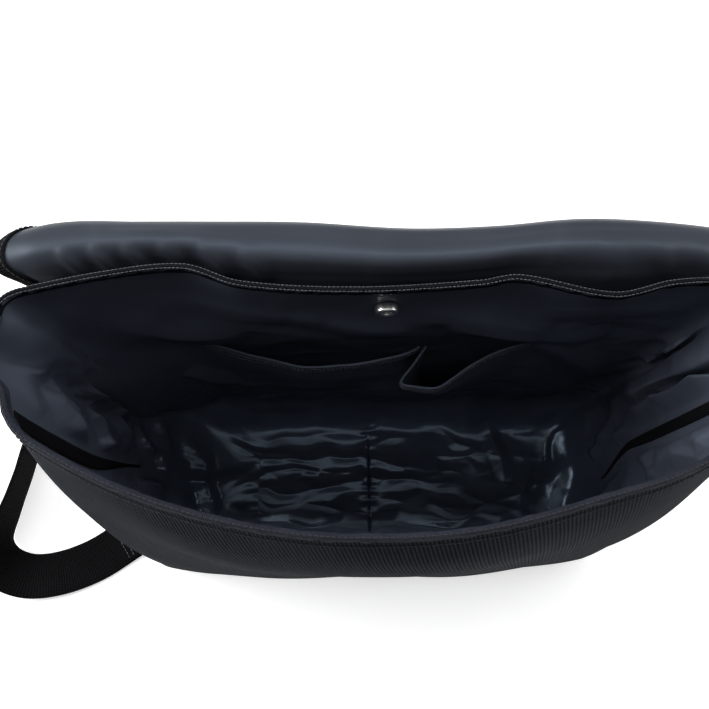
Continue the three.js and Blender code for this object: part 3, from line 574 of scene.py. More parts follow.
def wall_ring(z, inset=0.0):
    """The sleeve at heights z, the same for every column or a row of heights for each: front,
    right end, back and left end in one anticlockwise ring (columns, heights, xyz). Slack waves
    of the rim are added, more of the back's the further back a point is, and the rim's back left
    corner is spread outwards."""
    z = np.asarray(z, float)
    z, inset = (np.broadcast_to(v, (AROUND, z.shape[-1])) for v in (z, np.asarray(inset, float)))
    row = {key: section(key, z) for key in SECTIONS}
    half, back, mid, end = row["half"] - inset, row["back"] - inset, row["mid"] + inset, row["end"] + inset
    front, right, rear, left = np.split(np.arange(AROUND), [RIGHT_AT, BACK_AT, LEFT_AT])
    t, b, e = ((np.arange(count) / count)[:, None] for count in (FRONT_N, BACK_N, END_N))
    fx, fy = front_line(t, half[front], mid[front], end[front], row["bow"][front])
    bx, by = back_line(b, half[rear], back[rear])
    bell = (1 - np.cos(2 * np.pi * e)) / 2
    rx, lx = half[right] + row["bulge"][right] * bell, -half[left] - row["bulge"][left] * bell
    ry = SEAM_RIGHT + (back[right] - BACK_CORNER - SEAM_RIGHT) * e
    ly = SEAM_LEFT + (back[left] - BACK_CORNER - SEAM_LEFT) * (1 - e)
    x, y = np.concatenate([fx, rx, bx, lx]), np.concatenate([fy, ry, by, ly])
    x = x - LEFT_SPREAD * soft_switch(-x, 150, 211) * soft_switch(y, -8, 50) * row["wave"] ** 2
    behind = soft_switch(y, 0.0, row["back"])

    def slack(front_values, back_values):
        """Front and back values mixed by how far back a point is, times the share of waves."""
        front_part = (1 - behind) * smooth_table(x, FRONT_WAVE_X, front_values)
        return (front_part + behind * smooth_table(x, BACK_WAVE_X, back_values)) * row["wave"]

    return np.stack([x, y + slack(FRONT_PUSH, BACK_PUSH), z + slack(FRONT_LIFT, BACK_LIFT)], -1)


def wall_out(z):
    """Outward directions of the sleeve at heights z, from neighbours around and 1 mm up and down."""
    z, points = np.asarray(z, float), wall_ring(z)
    around = np.roll(points, -1, 0) - np.roll(points, 1, 0)
    return unit(np.cross(around, wall_ring(np.minimum(z + 1, RIM)) - wall_ring(z - 1)))


WALL_ROWS = 42
turn = np.radians(np.linspace(0, 90, 9)[:-1])
row_z = np.concatenate([BASE_ROUND * (1 - np.cos(turn)), np.linspace(BASE_ROUND, RIM, WALL_ROWS)])
row_inset = np.concatenate([BASE_ROUND * (1 - np.sin(turn)), np.zeros(WALL_ROWS)])
sleeve_z = np.maximum(row_z, BASE_ROUND)
sleeve = wall_ring(sleeve_z, row_inset)
sleeve[..., 2] += (row_z - sleeve_z)[None, :]
sleeve_out = outward(sleeve, closed=True)
print("sleeve", sleeve.shape, "x", sleeve[..., 0].min(), sleeve[..., 0].max())

# %% [markdown]
# ## Folds
# Cloth that has too much length for its place throws up ridges. A cloth simulation finds such
# folds by itself, but where the photograph shows a ridge, a ridge has to be there. So folds
# are laid one by one and by seeded chance: each is a line on the cloth with a crest along it that
# fades at both ends, and a net of creases crumples the cloth between them.

# %% Ridges, wander and crumple
def ridges(a, b, lines):
    """Height of the cloth at places (a, b). Each line is a chain of places with a width and a
    height. The crest falls off evenly, as a tent with a rounded top, with the distance from the
    nearest part of the chain, and fades at both ends as the sine of the part of the way along."""
    total = np.zeros(np.broadcast(a, b).shape)
    for chain, width, height in lines:
        chain = np.asarray(chain, float).reshape(-1, 2)
        starts = running(chain)
        near, run = np.full(total.shape, np.inf), np.zeros(total.shape)
        for (a0, b0), (a1, b1), start in zip(chain, chain[1:], starts):
            step = math.hypot(a1 - a0, b1 - b0)
            t = np.clip(((a - a0) * (a1 - a0) + (b - b0) * (b1 - b0)) / step**2, 0, 1)
            off = np.hypot(a - a0 - t * (a1 - a0), b - b0 - t * (b1 - b0))
            run = np.where(off < near, start + t * step, run)
            near = np.minimum(near, off)
        fade = np.sin(np.pi * np.clip(run / starts[-1], 0, 1)) ** 0.6
        total = total + height * fade * np.maximum(1 - np.sqrt((near / width) ** 2 + 0.004), 0) ** 1.15
    return total


def chance_lines(seed, count, a_range, b_range, angle, spread, long, width, height):
    """Seeded random fold lines about an angle in degrees; lengths, widths and heights vary
    from half to one and a half times the given ones."""
    pick = np.random.default_rng(seed)
    a, b = pick.uniform(*a_range, count), pick.uniform(*b_range, count)
    turn = np.radians(angle + pick.normal(0, spread, count))
    size = pick.uniform(0.5, 1.5, (3, count))
    da, db = np.cos(turn) * long * size[0] / 2, np.sin(turn) * long * size[0] / 2
    chains = np.stack([a - da, b - db, a + da, b + db], -1)
    return list(zip(chains, width * size[1], height * size[2]))


def wander(a, b, wave, seed):
    """Soft uneven swell between about -1 and 1: six sine waves in seeded directions."""
    pick = np.random.default_rng(seed)
    turn, phase = pick.uniform(0, np.pi, 6), pick.uniform(0, 2 * np.pi, 6)
    k = 2 * np.pi / (wave * pick.uniform(0.7, 1.5, 6))
    waves = [np.sin(k[i] * (a * np.cos(turn[i]) + b * np.sin(turn[i])) + phase[i]) for i in range(6)]
    return sum(waves) / 3.0


def crumple(a, b, cell_a, cell_b, width, seed):
    """A net of creases, as in crushed paper: one place is scattered in each cell of a grid, and
    a tent 1 high runs where the nearest two are equally near. A slow swell weakens some creases."""
    pick = np.random.default_rng(seed)
    across, up = (np.arange(v.min() // c - 1, v.max() // c + 3) for v, c in ((a, cell_a), (b, cell_b)))
    cells = np.stack(np.meshgrid(across, up), -1).reshape(-1, 2)
    nearest, second = (np.full(np.broadcast(a, b).shape, np.inf) for _ in range(2))
    for i, j in cells + pick.uniform(0, 1, cells.shape):
        off = np.hypot(a / cell_a - i, b / cell_b - j)
        second = np.minimum(second, np.maximum(nearest, off))
        nearest = np.minimum(nearest, off)
    strength = np.clip(0.55 + 0.7 * wander(a, b, cell_a + cell_b, seed + 1), 0, 1)
    return strength * np.maximum(1 - (second - nearest) / width, 0)


print("ridge height on its own crest:", ridges(np.array([5.0]), np.array([0.0]), [((0, 0, 10, 0), 3, 2)]))

# %% [markdown]
# ## Outer walls
# Each wall is a panel of ballistic cloth, a little slack between its seams, and drawn in where
# it is sewn to its neighbour. A subdivided box would show the same outline, but not the shallow
# valley at a seam that catches a shadow.

# %% Front, back and end panels
SWELL, SWELL_WAVE = 1.3, 120
DIP, DIP_WIDE = 1.1, 3.0


def panel_columns(first, count):
    """Numbers of the sleeve's columns from the first one over a count of steps."""
    return np.arange(first, first + count + 1) % AROUND


def wall_panel(name, node, first, count, seed):
    """Sleeve columns moved out by a slack swell, which fades at the panel's edges, and in by a
    bell-shaped dip along its two seams."""
    pick = panel_columns(first, count)
    points, out = sleeve[pick], sleeve_out[pick]
    run = grid_length(points, 0)[:, None] / MM
    edge = np.minimum(run, run[-1] - run)
    z = points[..., 2]
    slack = soft_switch(edge, 0, 30) * soft_switch(z, 8, 40) * (1 - soft_switch(z, 262, 284))
    swell = SWELL * wander(run, z, SWELL_WAVE, seed) * slack
    dip = -DIP * np.exp(-((edge / DIP_WIDE) ** 2)) * soft_switch(z, 4, 20)
    outer = points + out * (swell + dip)[..., None]
    sew_sheet(name, outer, points - out * WALL, outer_cloth, "outer", node)


wall_panel("front_wall", "front_panel", FRONT_AT, FRONT_N, 3)
wall_panel("right_end", "gusset_right", RIGHT_AT, END_N, 5)
wall_panel("back_wall", "back_panel", BACK_AT, BACK_N, 7)
wall_panel("left_end", "gusset_left", LEFT_AT, END_N, 9)

# %% [markdown]
# ## Topstitching of the walls
# A row of dark thread runs up both sides of each wall seam. The rows could be drawn by hand;
# taken from the sleeve's own columns, they keep their distance from the seam.

# %% Topstitching beside the wall seams
SEAM_OFF, THREAD_OFF = 5.0, 0.15


def along_sleeve(points, column):
    """Unit directions along the sleeve at a column, from two columns before and after it."""
    return unit(points[(column + 2) % AROUND] - points[column - 2])


def sleeve_line(column, shift):
    """A line up the sleeve at a column, moved along the sleeve by a distance."""
    out = sleeve_out[column]
    line = sleeve[column] + along_sleeve(sleeve, column) * shift + out * THREAD_OFF
    return line[10:-4], out[10:-4]


corners = (FRONT_AT, RIGHT_AT, BACK_AT, LEFT_AT)
seam_rows = [sleeve_line(column, shift) for column in corners for shift in (-SEAM_OFF, SEAM_OFF)]
sew_thread("seam_stitching", seam_rows, dark_thread)

# %% [markdown]
# ## Base
# The base is a stiff board covered with the wall cloth. Its outline is the ring's lowest row.
# It could be filled with one many-sided face; rows from the front edge to the back edge give
# the weave an even map instead.

# %% Base board
BASE_THICK, BASE_ROWS = 2.7, 24


def base_grid(z):
    """Columns from left to right, rows from the front edge to the back edge of the base."""
    line, side = sleeve[:, 0], round(SIDE_SHARE * FRONT_N)
    front = line[FRONT_AT + side : FRONT_AT + FRONT_N + 1 - side]
    rear = line[panel_columns(BACK_AT, BACK_N)][::-1]
    x, y_front = front[:, :1], front[:, 1:2]
    y = y_front + (np.interp(x, rear[:, 0], rear[:, 1]) - y_front) * np.linspace(0, 1, BASE_ROWS)[None, :]
    return np.stack([np.broadcast_to(x, y.shape), y, np.full(y.shape, z)], -1)


sew_sheet("base_cloth", base_grid(BASE_THICK), base_grid(0.0), outer_cloth, "outer", "base_panel")

# %% [markdown]
# ## Floor lining
# Two pieces of taffeta meet at a seam across the middle of the floor. The floor is where
# slack gathers: long crisp ridges run from end to end, with flat glossy cloth between them, and
# fan out towards the left corner. The floor is smaller than the base, because the lining is a
# loose inner bag that cuts the corners, most of all at the left.

# %% Folds of the floor
FOOT_LEFT, FOOT_RIGHT, FOOT_FRONT, FOOT_BACK, FOOT_ROUND = -107.0, 142.0, -50.0, 47.0, 24.0
FLOOR_TOP, FLOOR_SEAM = 4.1, -5.0
FLOOR_FOLDS = [
    ((-134, 47, -100, 48, -70, 50, -8, 51, 40, 46), 9, 1.2),
    ((-150, 60, -129, 42, -108, 27, -73, 28, -12, 30, 22, 22, 60, 20), 9, 1.9),
    ((-129, 42, -112, 36, -88, 34, -66, 29), 6, 1.4),
    ((-160, -14, -128, 12, -108, 26), 9, 1.8),
    ((-164, -30, -135, -2, -116, 6, -87, -3, -52, -2, -12, 7, 42, 7, 90, 2), 10, 1.6),
    ((-116, 6, -96, 14, -76, 18, -50, 16), 6, 1.3),
    ((-128, -25, -100, -30, -55, -35, -18, -28, 33, -31, 70, -36, 120, -32), 10, 1.4),
    ((-196, 50, -186, 14, -176, -8, -168, -34), 11, 2.8),
    ((-176, 54, -160, 18, -152, -4, -146, -34), 10, 2.8),
    ((-196, 20, -172, 6, -150, 4, -132, 14), 9, 2.5),
    ((150, 60, 143, 20, 130, -34), 12, 2.2),
    ((176, 56, 168, 10, 158, -38), 12, 2.6),
    ((104, 64, 118, 34, 124, 6), 10, 2),
    ((60, 60, 82, 40, 110, 30), 9, 1.5),
]


def floor_height(x, y):
    """Height of the floor lining: folds on a place that wanders a few millimetres, crumples
    and a swell, drawn down in a narrow valley along the centre seam, with small puckers that
    end at it."""
    seam = np.abs(x - FLOOR_SEAM)
    fx, fy = x + 3.0 * wander(x, y, 40, 55), y + 2.2 * wander(x, y, 34, 57)
    crease = 0.7 * crumple(fx, fy, 42, 17, 0.55, 51)
    fold = ridges(fx, fy, FLOOR_FOLDS) + crease + 0.5 * wander(x, y, 70, 53)
    pucker = 0.5 * np.sin(y * 0.55 + 2 * np.sin(y * 0.11)) * np.exp(-((seam / 6) ** 2))
    return np.maximum(fold + 0.8 + pucker, 0) * (1 - 0.85 * np.exp(-((seam / 1.1) ** 2)))


print(len(FLOOR_FOLDS), "folds laid on the floor")

# %% [markdown]
# ## Floor sheets
# The floor could be one sheet with a drawn seam. Two sheets with a narrow gap between them
# make the seam real, and the valley in the height draws both edges down to it.

# %% Floor sheets
FLOOR_ROWS, HALF_GAP = 125, 0.2


def back_wobble(x):
    """The floor's back edge strays from a straight line by a few millimetres, not at its ends."""
    inside = soft_switch(x, FOOT_LEFT, FOOT_LEFT + 45) * (1 - soft_switch(x, FOOT_RIGHT - 45, FOOT_RIGHT))
    return (5 * np.sin(x / 21) + 3 * np.sin(x / 9 + 1)) * inside


def floor_half(name, node, first, last, count):
    """One side of the floor as columns across x, each with rows from the front edge to the back;
    the outline is a rectangle with round corners."""
    x = np.linspace(first, last, count)[:, None]
    cut = np.maximum(np.maximum(FOOT_LEFT + FOOT_ROUND - x, x - FOOT_RIGHT + FOOT_ROUND), 0)
    round_off = FOOT_ROUND - np.sqrt(np.maximum(FOOT_ROUND**2 - cut**2, 0))
    front, back = FOOT_FRONT + round_off, FOOT_BACK - round_off + back_wobble(x)
    y = front + (back - front) * np.linspace(0, 1, FLOOR_ROWS)[None, :]
    x = np.broadcast_to(x, y.shape)
    top = np.stack([x, y, FLOOR_TOP + floor_height(x, y)], -1)
    sew_sheet(name, top, top - outward(top), lining_taffeta, "lining", node)


floor_half("floor_left", "lining_floor_left", FOOT_LEFT, FLOOR_SEAM - HALF_GAP, 140)
floor_half("floor_right", "lining_floor_right", FLOOR_SEAM + HALF_GAP, FOOT_RIGHT, 170)

# %% [markdown]
# ## Lining walls
# The lining hangs from the rim, is caught in the seams at the ends and rounds into the floor.
# A straight sleeve would meet the floor in a sharp corner that no loose cloth has. So every
# column of the sleeve ends in a quarter of a circle that reaches the floor's outline, and the
# folds of the wall give way there to the folds of the floor.

# %% Lining sleeve that rounds into the floor
LINING_FOOT = FLOOR_TOP - LINING_IN
LOW_Z, BEND_ROWS, RISE_ROWS = 60.0, 40, 132


def floor_outline(x, y):
    """The floor's outline next to a place: the place held inside the rectangle less its corner
    radius, and from there out by that radius."""
    cx = np.clip(x, FOOT_LEFT + FOOT_ROUND, FOOT_RIGHT - FOOT_ROUND)
    cy = np.clip(y, FOOT_FRONT + FOOT_ROUND, FOOT_BACK - FOOT_ROUND)
    return np.stack([cx, cy], -1) + FOOT_ROUND * unit(np.stack([x - cx, y - cy], -1))


low = wall_ring([LOW_Z])[:, 0]
outline = floor_outline(low[:, 0], low[:, 1])
outline[:, 1] += np.where(low[:, 1] > 0, back_wobble(outline[:, 0]), 0)
radius = np.linalg.norm(low[:, :2] - outline, axis=-1)[:, None]
bend = np.radians(np.linspace(90, 0, BEND_ROWS))[None, :]
rise = np.linspace(0, 1, RISE_ROWS)[None, 1:]
quarter_z = LINING_FOOT + radius * (1 - np.sin(bend))
straight_z = LINING_FOOT + radius + (RIM - LINING_FOOT - radius) * rise
lining_z = np.concatenate([quarter_z, straight_z], 1)
drawn = np.concatenate([1 - np.cos(bend) + 0 * radius, 0 * straight_z], 1)
lining_base = wall_ring(np.maximum(lining_z, BASE_ROUND))
lining_base[..., :2] = lining_base[..., :2] * (1 - drawn[..., None]) + outline[:, None] * drawn[..., None]
lining_base[..., 2] += np.minimum(lining_z - BASE_ROUND, 0)
lining_out = outward(lining_base, closed=True)
lx, ly, lz = np.moveaxis(lining_base, -1, 0)
print("lining rounds into the floor by", radius.min().round(), "to", radius.max().round(), "mm")

# %% [markdown]
# ## Folds of the lining
# Slack cloth hangs in long soft folds on the back wall and in short crisp ones at the ends,
# beside the bound seams. One noise over the whole lining would look the same everywhere, so
# each wall has its own list of folds and its own crumple, and a soft mask says which wall a
# place is on. Each fold is a chain of places (across, height), a width and a height.

# %% Where each wall's folds are
BACK_FOLDS = [
    ((-185, 240, -140, 214, -96, 206), 30, 9),
    ((-150, 262, -90, 250, -40, 240), 22, 6),
    ((-60, 246, -10, 228, 30, 226), 26, 6),
    ((0, 262, 50, 244, 110, 226), 26, 9),
    ((40, 226, 100, 214, 150, 196), 24, 8),
    ((100, 262, 190, 250), 20, 6),
    ((-190, 180, -150, 130, -120, 90), 20, 6),
    ((120, 190, 160, 140, 185, 100), 20, 6),
]
LEFT_FOLDS = [
    ((18, 262, 36, 244, 48, 228), 12, 7),
    ((50, 216, 32, 190, 37, 156), 8, -13),
    ((58, 214, 48, 176, 46, 140, 44, 105, 30, 84), 8, 11),
    ((40, 172, 26, 152, 10, 136), 7, 9),
    ((44, 136, 33, 122, 16, 100), 7, 10),
    ((26, 232, 16, 200, 8, 172), 10, 6),
    ((-6, 226, -20, 180, -30, 130), 12, 6),
    ((46, 84, 24, 66, 2, 58), 9, 8),
    ((54, 58, 32, 42, 10, 36), 8, 6),
    ((16, 100, 2, 74, -8, 44), 8, 7),
]
RIGHT_FOLDS = [
    ((72, 262, 76, 210, 78, 150), 9, 12),
    ((54, 262, 57, 200, 60, 100), 11, 16),
    ((30, 262, 34, 190, 42, 95), 10, 15),
    ((2, 244, 0, 180, -8, 120), 16, 6),
    ((56, 88, 34, 64, 20, 40), 9, 8),
    ((36, 94, 16, 66, -6, 48), 8, 7),
]


def left_stray(z):
    """How far the left corner's seam strays to the front: 13 mm times a soft switch of the height."""
    return 13 * soft_switch(z, 50, 170)


def right_stray(z):
    """How far the right corner's seam strays to the front: 26 mm at the foot, none from 105 mm up."""
    return 26 * (1 - soft_switch(z, 20, 105))


on_end = soft_switch(np.abs(lx) - section("half", np.maximum(lz, BASE_ROUND)), -21, -8)
on_back = soft_switch(ly, 30, 60) * (1 - on_end)
on_front = 1 - np.clip(on_back + on_end, 0, 1)
seam_y = np.where(lx < 0, SEAM_LEFT - left_stray(lz), SEAM_RIGHT - right_stray(lz))
from_seam = np.abs(ly - seam_y) + 60 * (1 - on_end)
free = (1 - soft_switch(lz, 215, 272)) * soft_switch(from_seam, 7, 15)
print("folds on the back and the ends:", len(BACK_FOLDS), len(LEFT_FOLDS), len(RIGHT_FOLDS))

# %% [markdown]
# ## Lining sheets
# At the back left the lining doesn't follow the corner but cuts across it. It could be moved
# there by hand; instead every point beyond a slanting plane is drawn back to that plane, less
# and less towards the rim, where it is sewn.

# %% Heights of the folds and the four sheets
FRONT_CREASE, SWAY = 1.6, 1.6
CUT_START, CUT_BACK, CUT_SLOPE = -150.0, 72.0, 0.45
TURN_N = round((SIDE_SHARE + TURN_SHARE) * FRONT_N)
end_crumple = 5.0 * crumple(ly, lz, 20, 34, 0.95, 19)
back_height = ridges(lx, lz, BACK_FOLDS) + 1.4 * crumple(lx, lz, 74, 34, 0.6, 11)
left_height = ridges(ly, lz, LEFT_FOLDS) + end_crumple + SWAY * wander(ly, lz, 80, 37)
right_height = ridges(ly, lz, RIGHT_FOLDS) + end_crumple + SWAY * wander(ly, lz, 80, 41)
front_height = FRONT_CREASE * crumple(lx, lz, 70, 34, 0.25, 23) + SWAY * wander(lx, lz, 130, 43)
wall_fold = on_back * (back_height + SWAY * wander(lx, lz, 130, 31))
wall_fold = wall_fold + on_end * np.where(lx < 0, left_height, right_height) + on_front * front_height
wall_fold = np.maximum(wall_fold + 1.0, 0.0) * free
floor_share = soft_switch(drawn, 0.0, 0.4)
fold = wall_fold * (1 - floor_share) + floor_height(lx, ly) * floor_share
lining_in = lining_base - lining_out * (LINING_IN + fold)[..., None]
cut_out = np.array([-CUT_SLOPE, 1.0, 0.0]) / math.hypot(CUT_SLOPE, 1)
beyond = lining_in @ cut_out - np.array([CUT_START, CUT_BACK, 0.0]) @ cut_out
beyond = np.where(lx < 0, np.maximum(beyond, 0), 0) * (1 - soft_switch(lz, 150, 288)) * (1 - floor_share)
lining_in = lining_in - cut_out * beyond[..., None]
lining_rear = lining_in + outward(lining_in, closed=True)


def lining_panel(name, first, count, step=1):
    """Lining columns of one wall, thinned to every second one where nobody looks."""
    pick = panel_columns(first, count)[::step]
    rear, face = lining_rear[pick][:, ::step], lining_in[pick][:, ::step]
    sew_sheet(name, rear, face, lining_taffeta, "lining", "lining_walls")


lining_panel("lining_left", LEFT_AT, END_N + TURN_N)
lining_panel("lining_front", TURN_N, FRONT_N - 2 * TURN_N, 2)
lining_panel("lining_right", FRONT_N - TURN_N, TURN_N + END_N)
lining_panel("lining_back", BACK_AT, BACK_N)
print("deepest fold", fold.max())

# %% [markdown]
# ## Rim hem
# The top edge of wall and lining is wrapped in tape and sewn through with rows of thread.
# A pipe along a curve would be round; the hem is a flat folded tape, so its profile is two
# legs and a rounded top, carried round the rim by the sleeve function.

# %% Hem tapes
ARCH_MIDDLE, ARCH_HALF, BACK_HALF, ARCH_HIGH, ARCH_SUNK = 1.5, 2.0, 1.45, 1.4, 0.2
FRONT_HEM, BACK_HEM = (LEFT_AT, END_N + FRONT_N + END_N), (BACK_AT, BACK_N)
leg = np.linspace(0, 1, 7)
arch = np.radians(np.linspace(0, 180, 11))
hem_drop = np.concatenate([4.5 - 3.0 * leg, ARCH_SUNK - ARCH_HIGH * np.sin(arch), 1.5 + 2.5 * leg])
hem_side = np.concatenate([-0.62 - 0.38 * leg, -np.cos(arch), 1 + 0.35 * leg])
hem_z = RIM - np.maximum(hem_drop, 0)
hem_ring, hem_out = wall_ring(hem_z), wall_out(hem_z)


def sew_hem(name, node, first, count, half, finish):
    """The profile's points at every column: down the sleeve by their drop, in by their depth,
    and up over the edge; a small seeded ripple makes the sewn tape uneven."""
    pick = panel_columns(first, count)
    run = grid_length(hem_ring[pick], 0)[:, None] / MM
    ripple = 0.22 * wander(run, 4 * hem_drop[None, :], 11, first)
    depth = ARCH_MIDDLE + half * hem_side[None, :] - ripple
    points = hem_ring[pick] - hem_out[pick] * depth[..., None]
    points[..., 2] += np.maximum(-hem_drop, 0)[None, :]
    sweep_bar(name, points, finish, "hem", node)


sew_hem("hem_front", "rim_binding_front", *FRONT_HEM, ARCH_HALF, hem_tape)
sew_hem("hem_back", "rim_binding_back", *BACK_HEM, BACK_HALF, back_tape)

# %% [markdown]
# ## Hem stitching
# Dark thread holds the front hem, and paler, finer thread the back one. The rows could be
# copied from the tape's mesh, but the sleeve function gives the same lines directly: at an angle
# over the tape's round top, or at a drop below it.

# %% Rows of hem stitching
UP = np.array([0, 0, 1.0])
FINE_RADIUS = 0.28


def rim_line(drop, first, count):
    """Points and outward directions of the sleeve at a drop below its edge, over some columns."""
    pick = panel_columns(first, count)
    return wall_ring([RIM - drop])[pick, 0], wall_out([RIM - drop])[pick, 0]


def arch_line(angle, first, count, half):
    """A line along the hem's top at an angle over its arch: 0 is outside, 180 inside."""
    a = math.radians(angle)
    ring, out = rim_line(0.0, first, count)
    line = ring - out * (ARCH_MIDDLE - half * math.cos(a)) + UP * (ARCH_HIGH * math.sin(a) - ARCH_SUNK)
    return line, out * math.cos(a) + UP * math.sin(a)


def leg_line(drop, first, count):
    """A line on the wall below the hem's outer leg."""
    ring, out = rim_line(drop, first, count)
    return ring + out * THREAD_OFF, out


sew_thread("edge_stitching", [arch_line(72, *FRONT_HEM, ARCH_HALF)], dark_thread, pitch=3.0)
sew_thread("leg_stitching", [leg_line(8.0, *FRONT_HEM)], dark_thread)
back_rows = [arch_line(angle, *BACK_HEM, BACK_HALF) for angle in (150, 40)] + [leg_line(7.0, *BACK_HEM)]
sew_thread("back_stitching", back_rows, hem_thread, radius=FINE_RADIUS, pitch=2.4)

# %% [markdown]
# ## Corner tapes
# Inside the two front corners the raw seam is covered by a black tape. A curve with a bevel
# would float off the cloth; a strip worked out from the lining's own columns lies on it along
# the seam, a little proud, with a rounded back. The left tape is cut wider than the real tape,
# so that its black also stands for the painted shade beside it.

# %% Corner tapes
TAPE_IN, TAPE_HIGH, TAPE_EDGE = 3.3, 1.1, 0.15


def corner_tape(name, node, column, first, half, shift):
    """A strip along a lining column from a row up, moved along the sleeve by a shift for each
    row: across it the points step along the sleeve, the back is arched as a cosine, and the
    width grows from the lower end."""
    rows = slice(first, -4)
    here, out, along = lining_base[column], lining_out[column], along_sleeve(lining_base, column)
    here, out, along = here[rows], out[rows], along[rows]
    w = np.linspace(-1, 1, 9)[:, None, None]
    half = half * (0.15 + 0.85 * soft_switch(np.arange(len(here)), -10, 50))[None, :, None]
    base = here[None] + along[None] * (w * half + shift[rows][None, :, None]) - out[None] * TAPE_IN
    raised = base - out[None] * (TAPE_HIGH * np.cos(0.5 * np.pi * w) ** 0.5 + TAPE_EDGE)
    sew_sheet(name, base, raised, edge_tape, "binding", node)


# the left tape's extra width is painted shade: its black covers the shadow beside the real tape
corner_tape("tape_left", "corner_tape_left", FRONT_AT, 33, 5.0, left_stray(lz[FRONT_AT]))
corner_tape("tape_right", "corner_tape_right", RIGHT_AT, 34, 4.2, -right_stray(lz[RIGHT_AT]))

# %% [markdown]
# ## Flap
# The flap is sewn to the back wall, rolls over and hangs down behind. It could be draped by a
# simulation, but its roll is plain in the photograph: a short rise, half a circle and a long
# drop. Across the bag the roll rises and sinks in slow waves.

# %% Path of the flap
ROOT_Z, ROLL, ROLL_Z, DROP, LEAN, STAND, ROOT_OFF = 256.0, 16.5, 281.0, 232.0, 7.0, 3.6, 2.4
ROOT_LONG, ROLL_LONG = ROLL_Z - ROOT_Z, np.pi * ROLL
ROLL_END = ROOT_LONG + ROLL_LONG
FLAP_LONG = ROLL_END + DROP
FLAP_CORNER, FLAP_INSET = 46.0, 1.65
FLAP_S = [0, 24, 44, 62, 82, 110, 200, 330]
FLAP_HALF = [203, 219, 232, 229, 213, 198, 192, 188]
FLAP_WAVE_X = [-236, -220, -190, -150, -111, -53, 10, 62, 110, 150, 200, 236]
FLAP_PUSH = [-6, -1, 2, 1, 1, 1, -2, -1, 2, 2, -1, -6]
FLAP_LIFT = [-12, -6, -1, 1, 1, 0, -2, -1, 2, 0, -5, -12]
root_wave = float(section("wave", np.array(ROOT_Z)))
root_push = float(back_push(np.array(0.0)))
root_y = float(section("back", np.array(ROOT_Z))) + root_push * root_wave + ROOT_OFF
roll_y = root_y + STAND + ROLL


def flap_place(x, s, h):
    """A point of the flap: x across, s along from its root, h off its middle towards the satin.
    The path is a rise, a half-circle and a drop that leans back by the square of its length;
    the root follows the waves of the back wall, the roll has its own."""
    x, s, h = np.broadcast_arrays(np.asarray(x, float), np.asarray(s, float), np.asarray(h, float))
    angle = np.pi - np.clip((s - ROOT_LONG) / ROLL, 0, np.pi)
    t = np.clip((s - ROLL_END) / DROP, 0, 2)
    rise = np.clip(s / ROOT_LONG, 0, 1)
    y = np.where(s < ROOT_LONG, root_y + STAND * rise, roll_y + ROLL * np.cos(angle) - LEAN * t * t)
    z = np.where(s < ROOT_LONG, ROOT_Z + s, ROLL_Z + ROLL * np.sin(angle) - DROP * t)
    grow = soft_switch(s, 12, ROOT_LONG + ROLL_LONG * 0.5)
    high = grow * (1 - soft_switch(s, ROOT_LONG + ROLL_LONG * 0.7, ROLL_END + 60))
    slack = grow * (1 - soft_switch(s, ROLL_END, FLAP_LONG - 2 * FLAP_CORNER))
    rooted = 1 - soft_switch(s, ROOT_LONG, ROOT_LONG + ROLL_LONG * 0.8)
    push = smooth_table(x, FLAP_WAVE_X, FLAP_PUSH) * slack
    lift = smooth_table(x, FLAP_WAVE_X, FLAP_LIFT) * high
    follow = (back_push(np.clip(x, -192, 192)) - root_push) * root_wave * rooted
    return np.stack([x, y + push + follow + np.cos(angle) * h, z + lift + np.sin(angle) * h], -1)


def flap_half(s, inset):
    """Half width at s, drawn in by an inset, with a circle at the two free corners."""
    width = smooth_table(s, FLAP_S, FLAP_HALF)
    radius = FLAP_CORNER - inset
    down = np.clip(s - (FLAP_LONG - FLAP_CORNER), 0, radius)
    return width - FLAP_CORNER + np.sqrt(radius**2 - down**2)


print("flap is", round(FLAP_LONG), "mm long from its root")

# %% [markdown]
# ## Flap sheets
# The satin inside the flap is gathered where it is sewn to the back wall, and its roll has a
# sharp crest with thin streaks above it. These are folds laid as before, on the place across
# the flap and the length along it. The outer cloth behind lies smooth.

# %% Satin and outer cloth of the flap
SATIN_FOLDS = [
    ((-226, 43, -150, 45, -60, 42, 40, 43, 130, 45, 226, 43), 11, 6.4),
    ((-200, 53, -60, 55, 60, 53, 205, 55), 3.5, 0.5),
    ((-120, 60, 40, 61, 190, 60), 3.5, 0.5),
    ((-150, 49, -20, 48, 90, 49), 3, 0.5),
    ((-191, 43, -184, 36, -178, 27), 6, 2.6),
    ((-173, 43, -166, 36, -160, 27), 6, 2.8),
    ((-154, 43, -146, 36, -140, 27), 6, 3.0),
    ((-133, 43, -124, 36, -116, 27), 7, 3.0),
    ((-110, 43, -100, 36, -92, 27), 8, 3.0),
    ((-87, 43, -78, 36, -70, 27), 8, 2.6),
    ((120, 47, 128, 38, 132, 28), 8, 1.4),
    ((150, 47, 158, 38, 162, 28), 7, 1.6),
    ((176, 47, 184, 38, 188, 28), 7, 1.6),
]
SATIN_FACES, CLOTH_FACES = (1.55, 0.15), (-0.15, -1.95)
flat_run = np.linspace(0, FLAP_LONG - FLAP_CORNER, 122)
corner_run = (FLAP_CORNER - FLAP_INSET) * np.sin(np.linspace(0, np.pi / 2, 22))[1:]
flap_s = np.concatenate([flat_run, FLAP_LONG - FLAP_CORNER + corner_run])[None, :]
flap_x = np.linspace(-1, 1, 201)[:, None] * np.maximum(flap_half(flap_s, FLAP_INSET), 1.0)
flap_edge = np.minimum(flap_half(flap_s, FLAP_INSET) - np.abs(flap_x), FLAP_LONG - flap_s)
satin_chance = chance_lines(61, 26, (-200, 200), (120, 320), 60, 40, 60, 12, 1.0)
satin_swell = 0.5 * wander(flap_x, flap_s, 70, 63) * soft_switch(flap_s, 80, 120)
satin_fold = ridges(flap_x, flap_s, SATIN_FOLDS) + ridges(flap_x, flap_s, satin_chance) + satin_swell
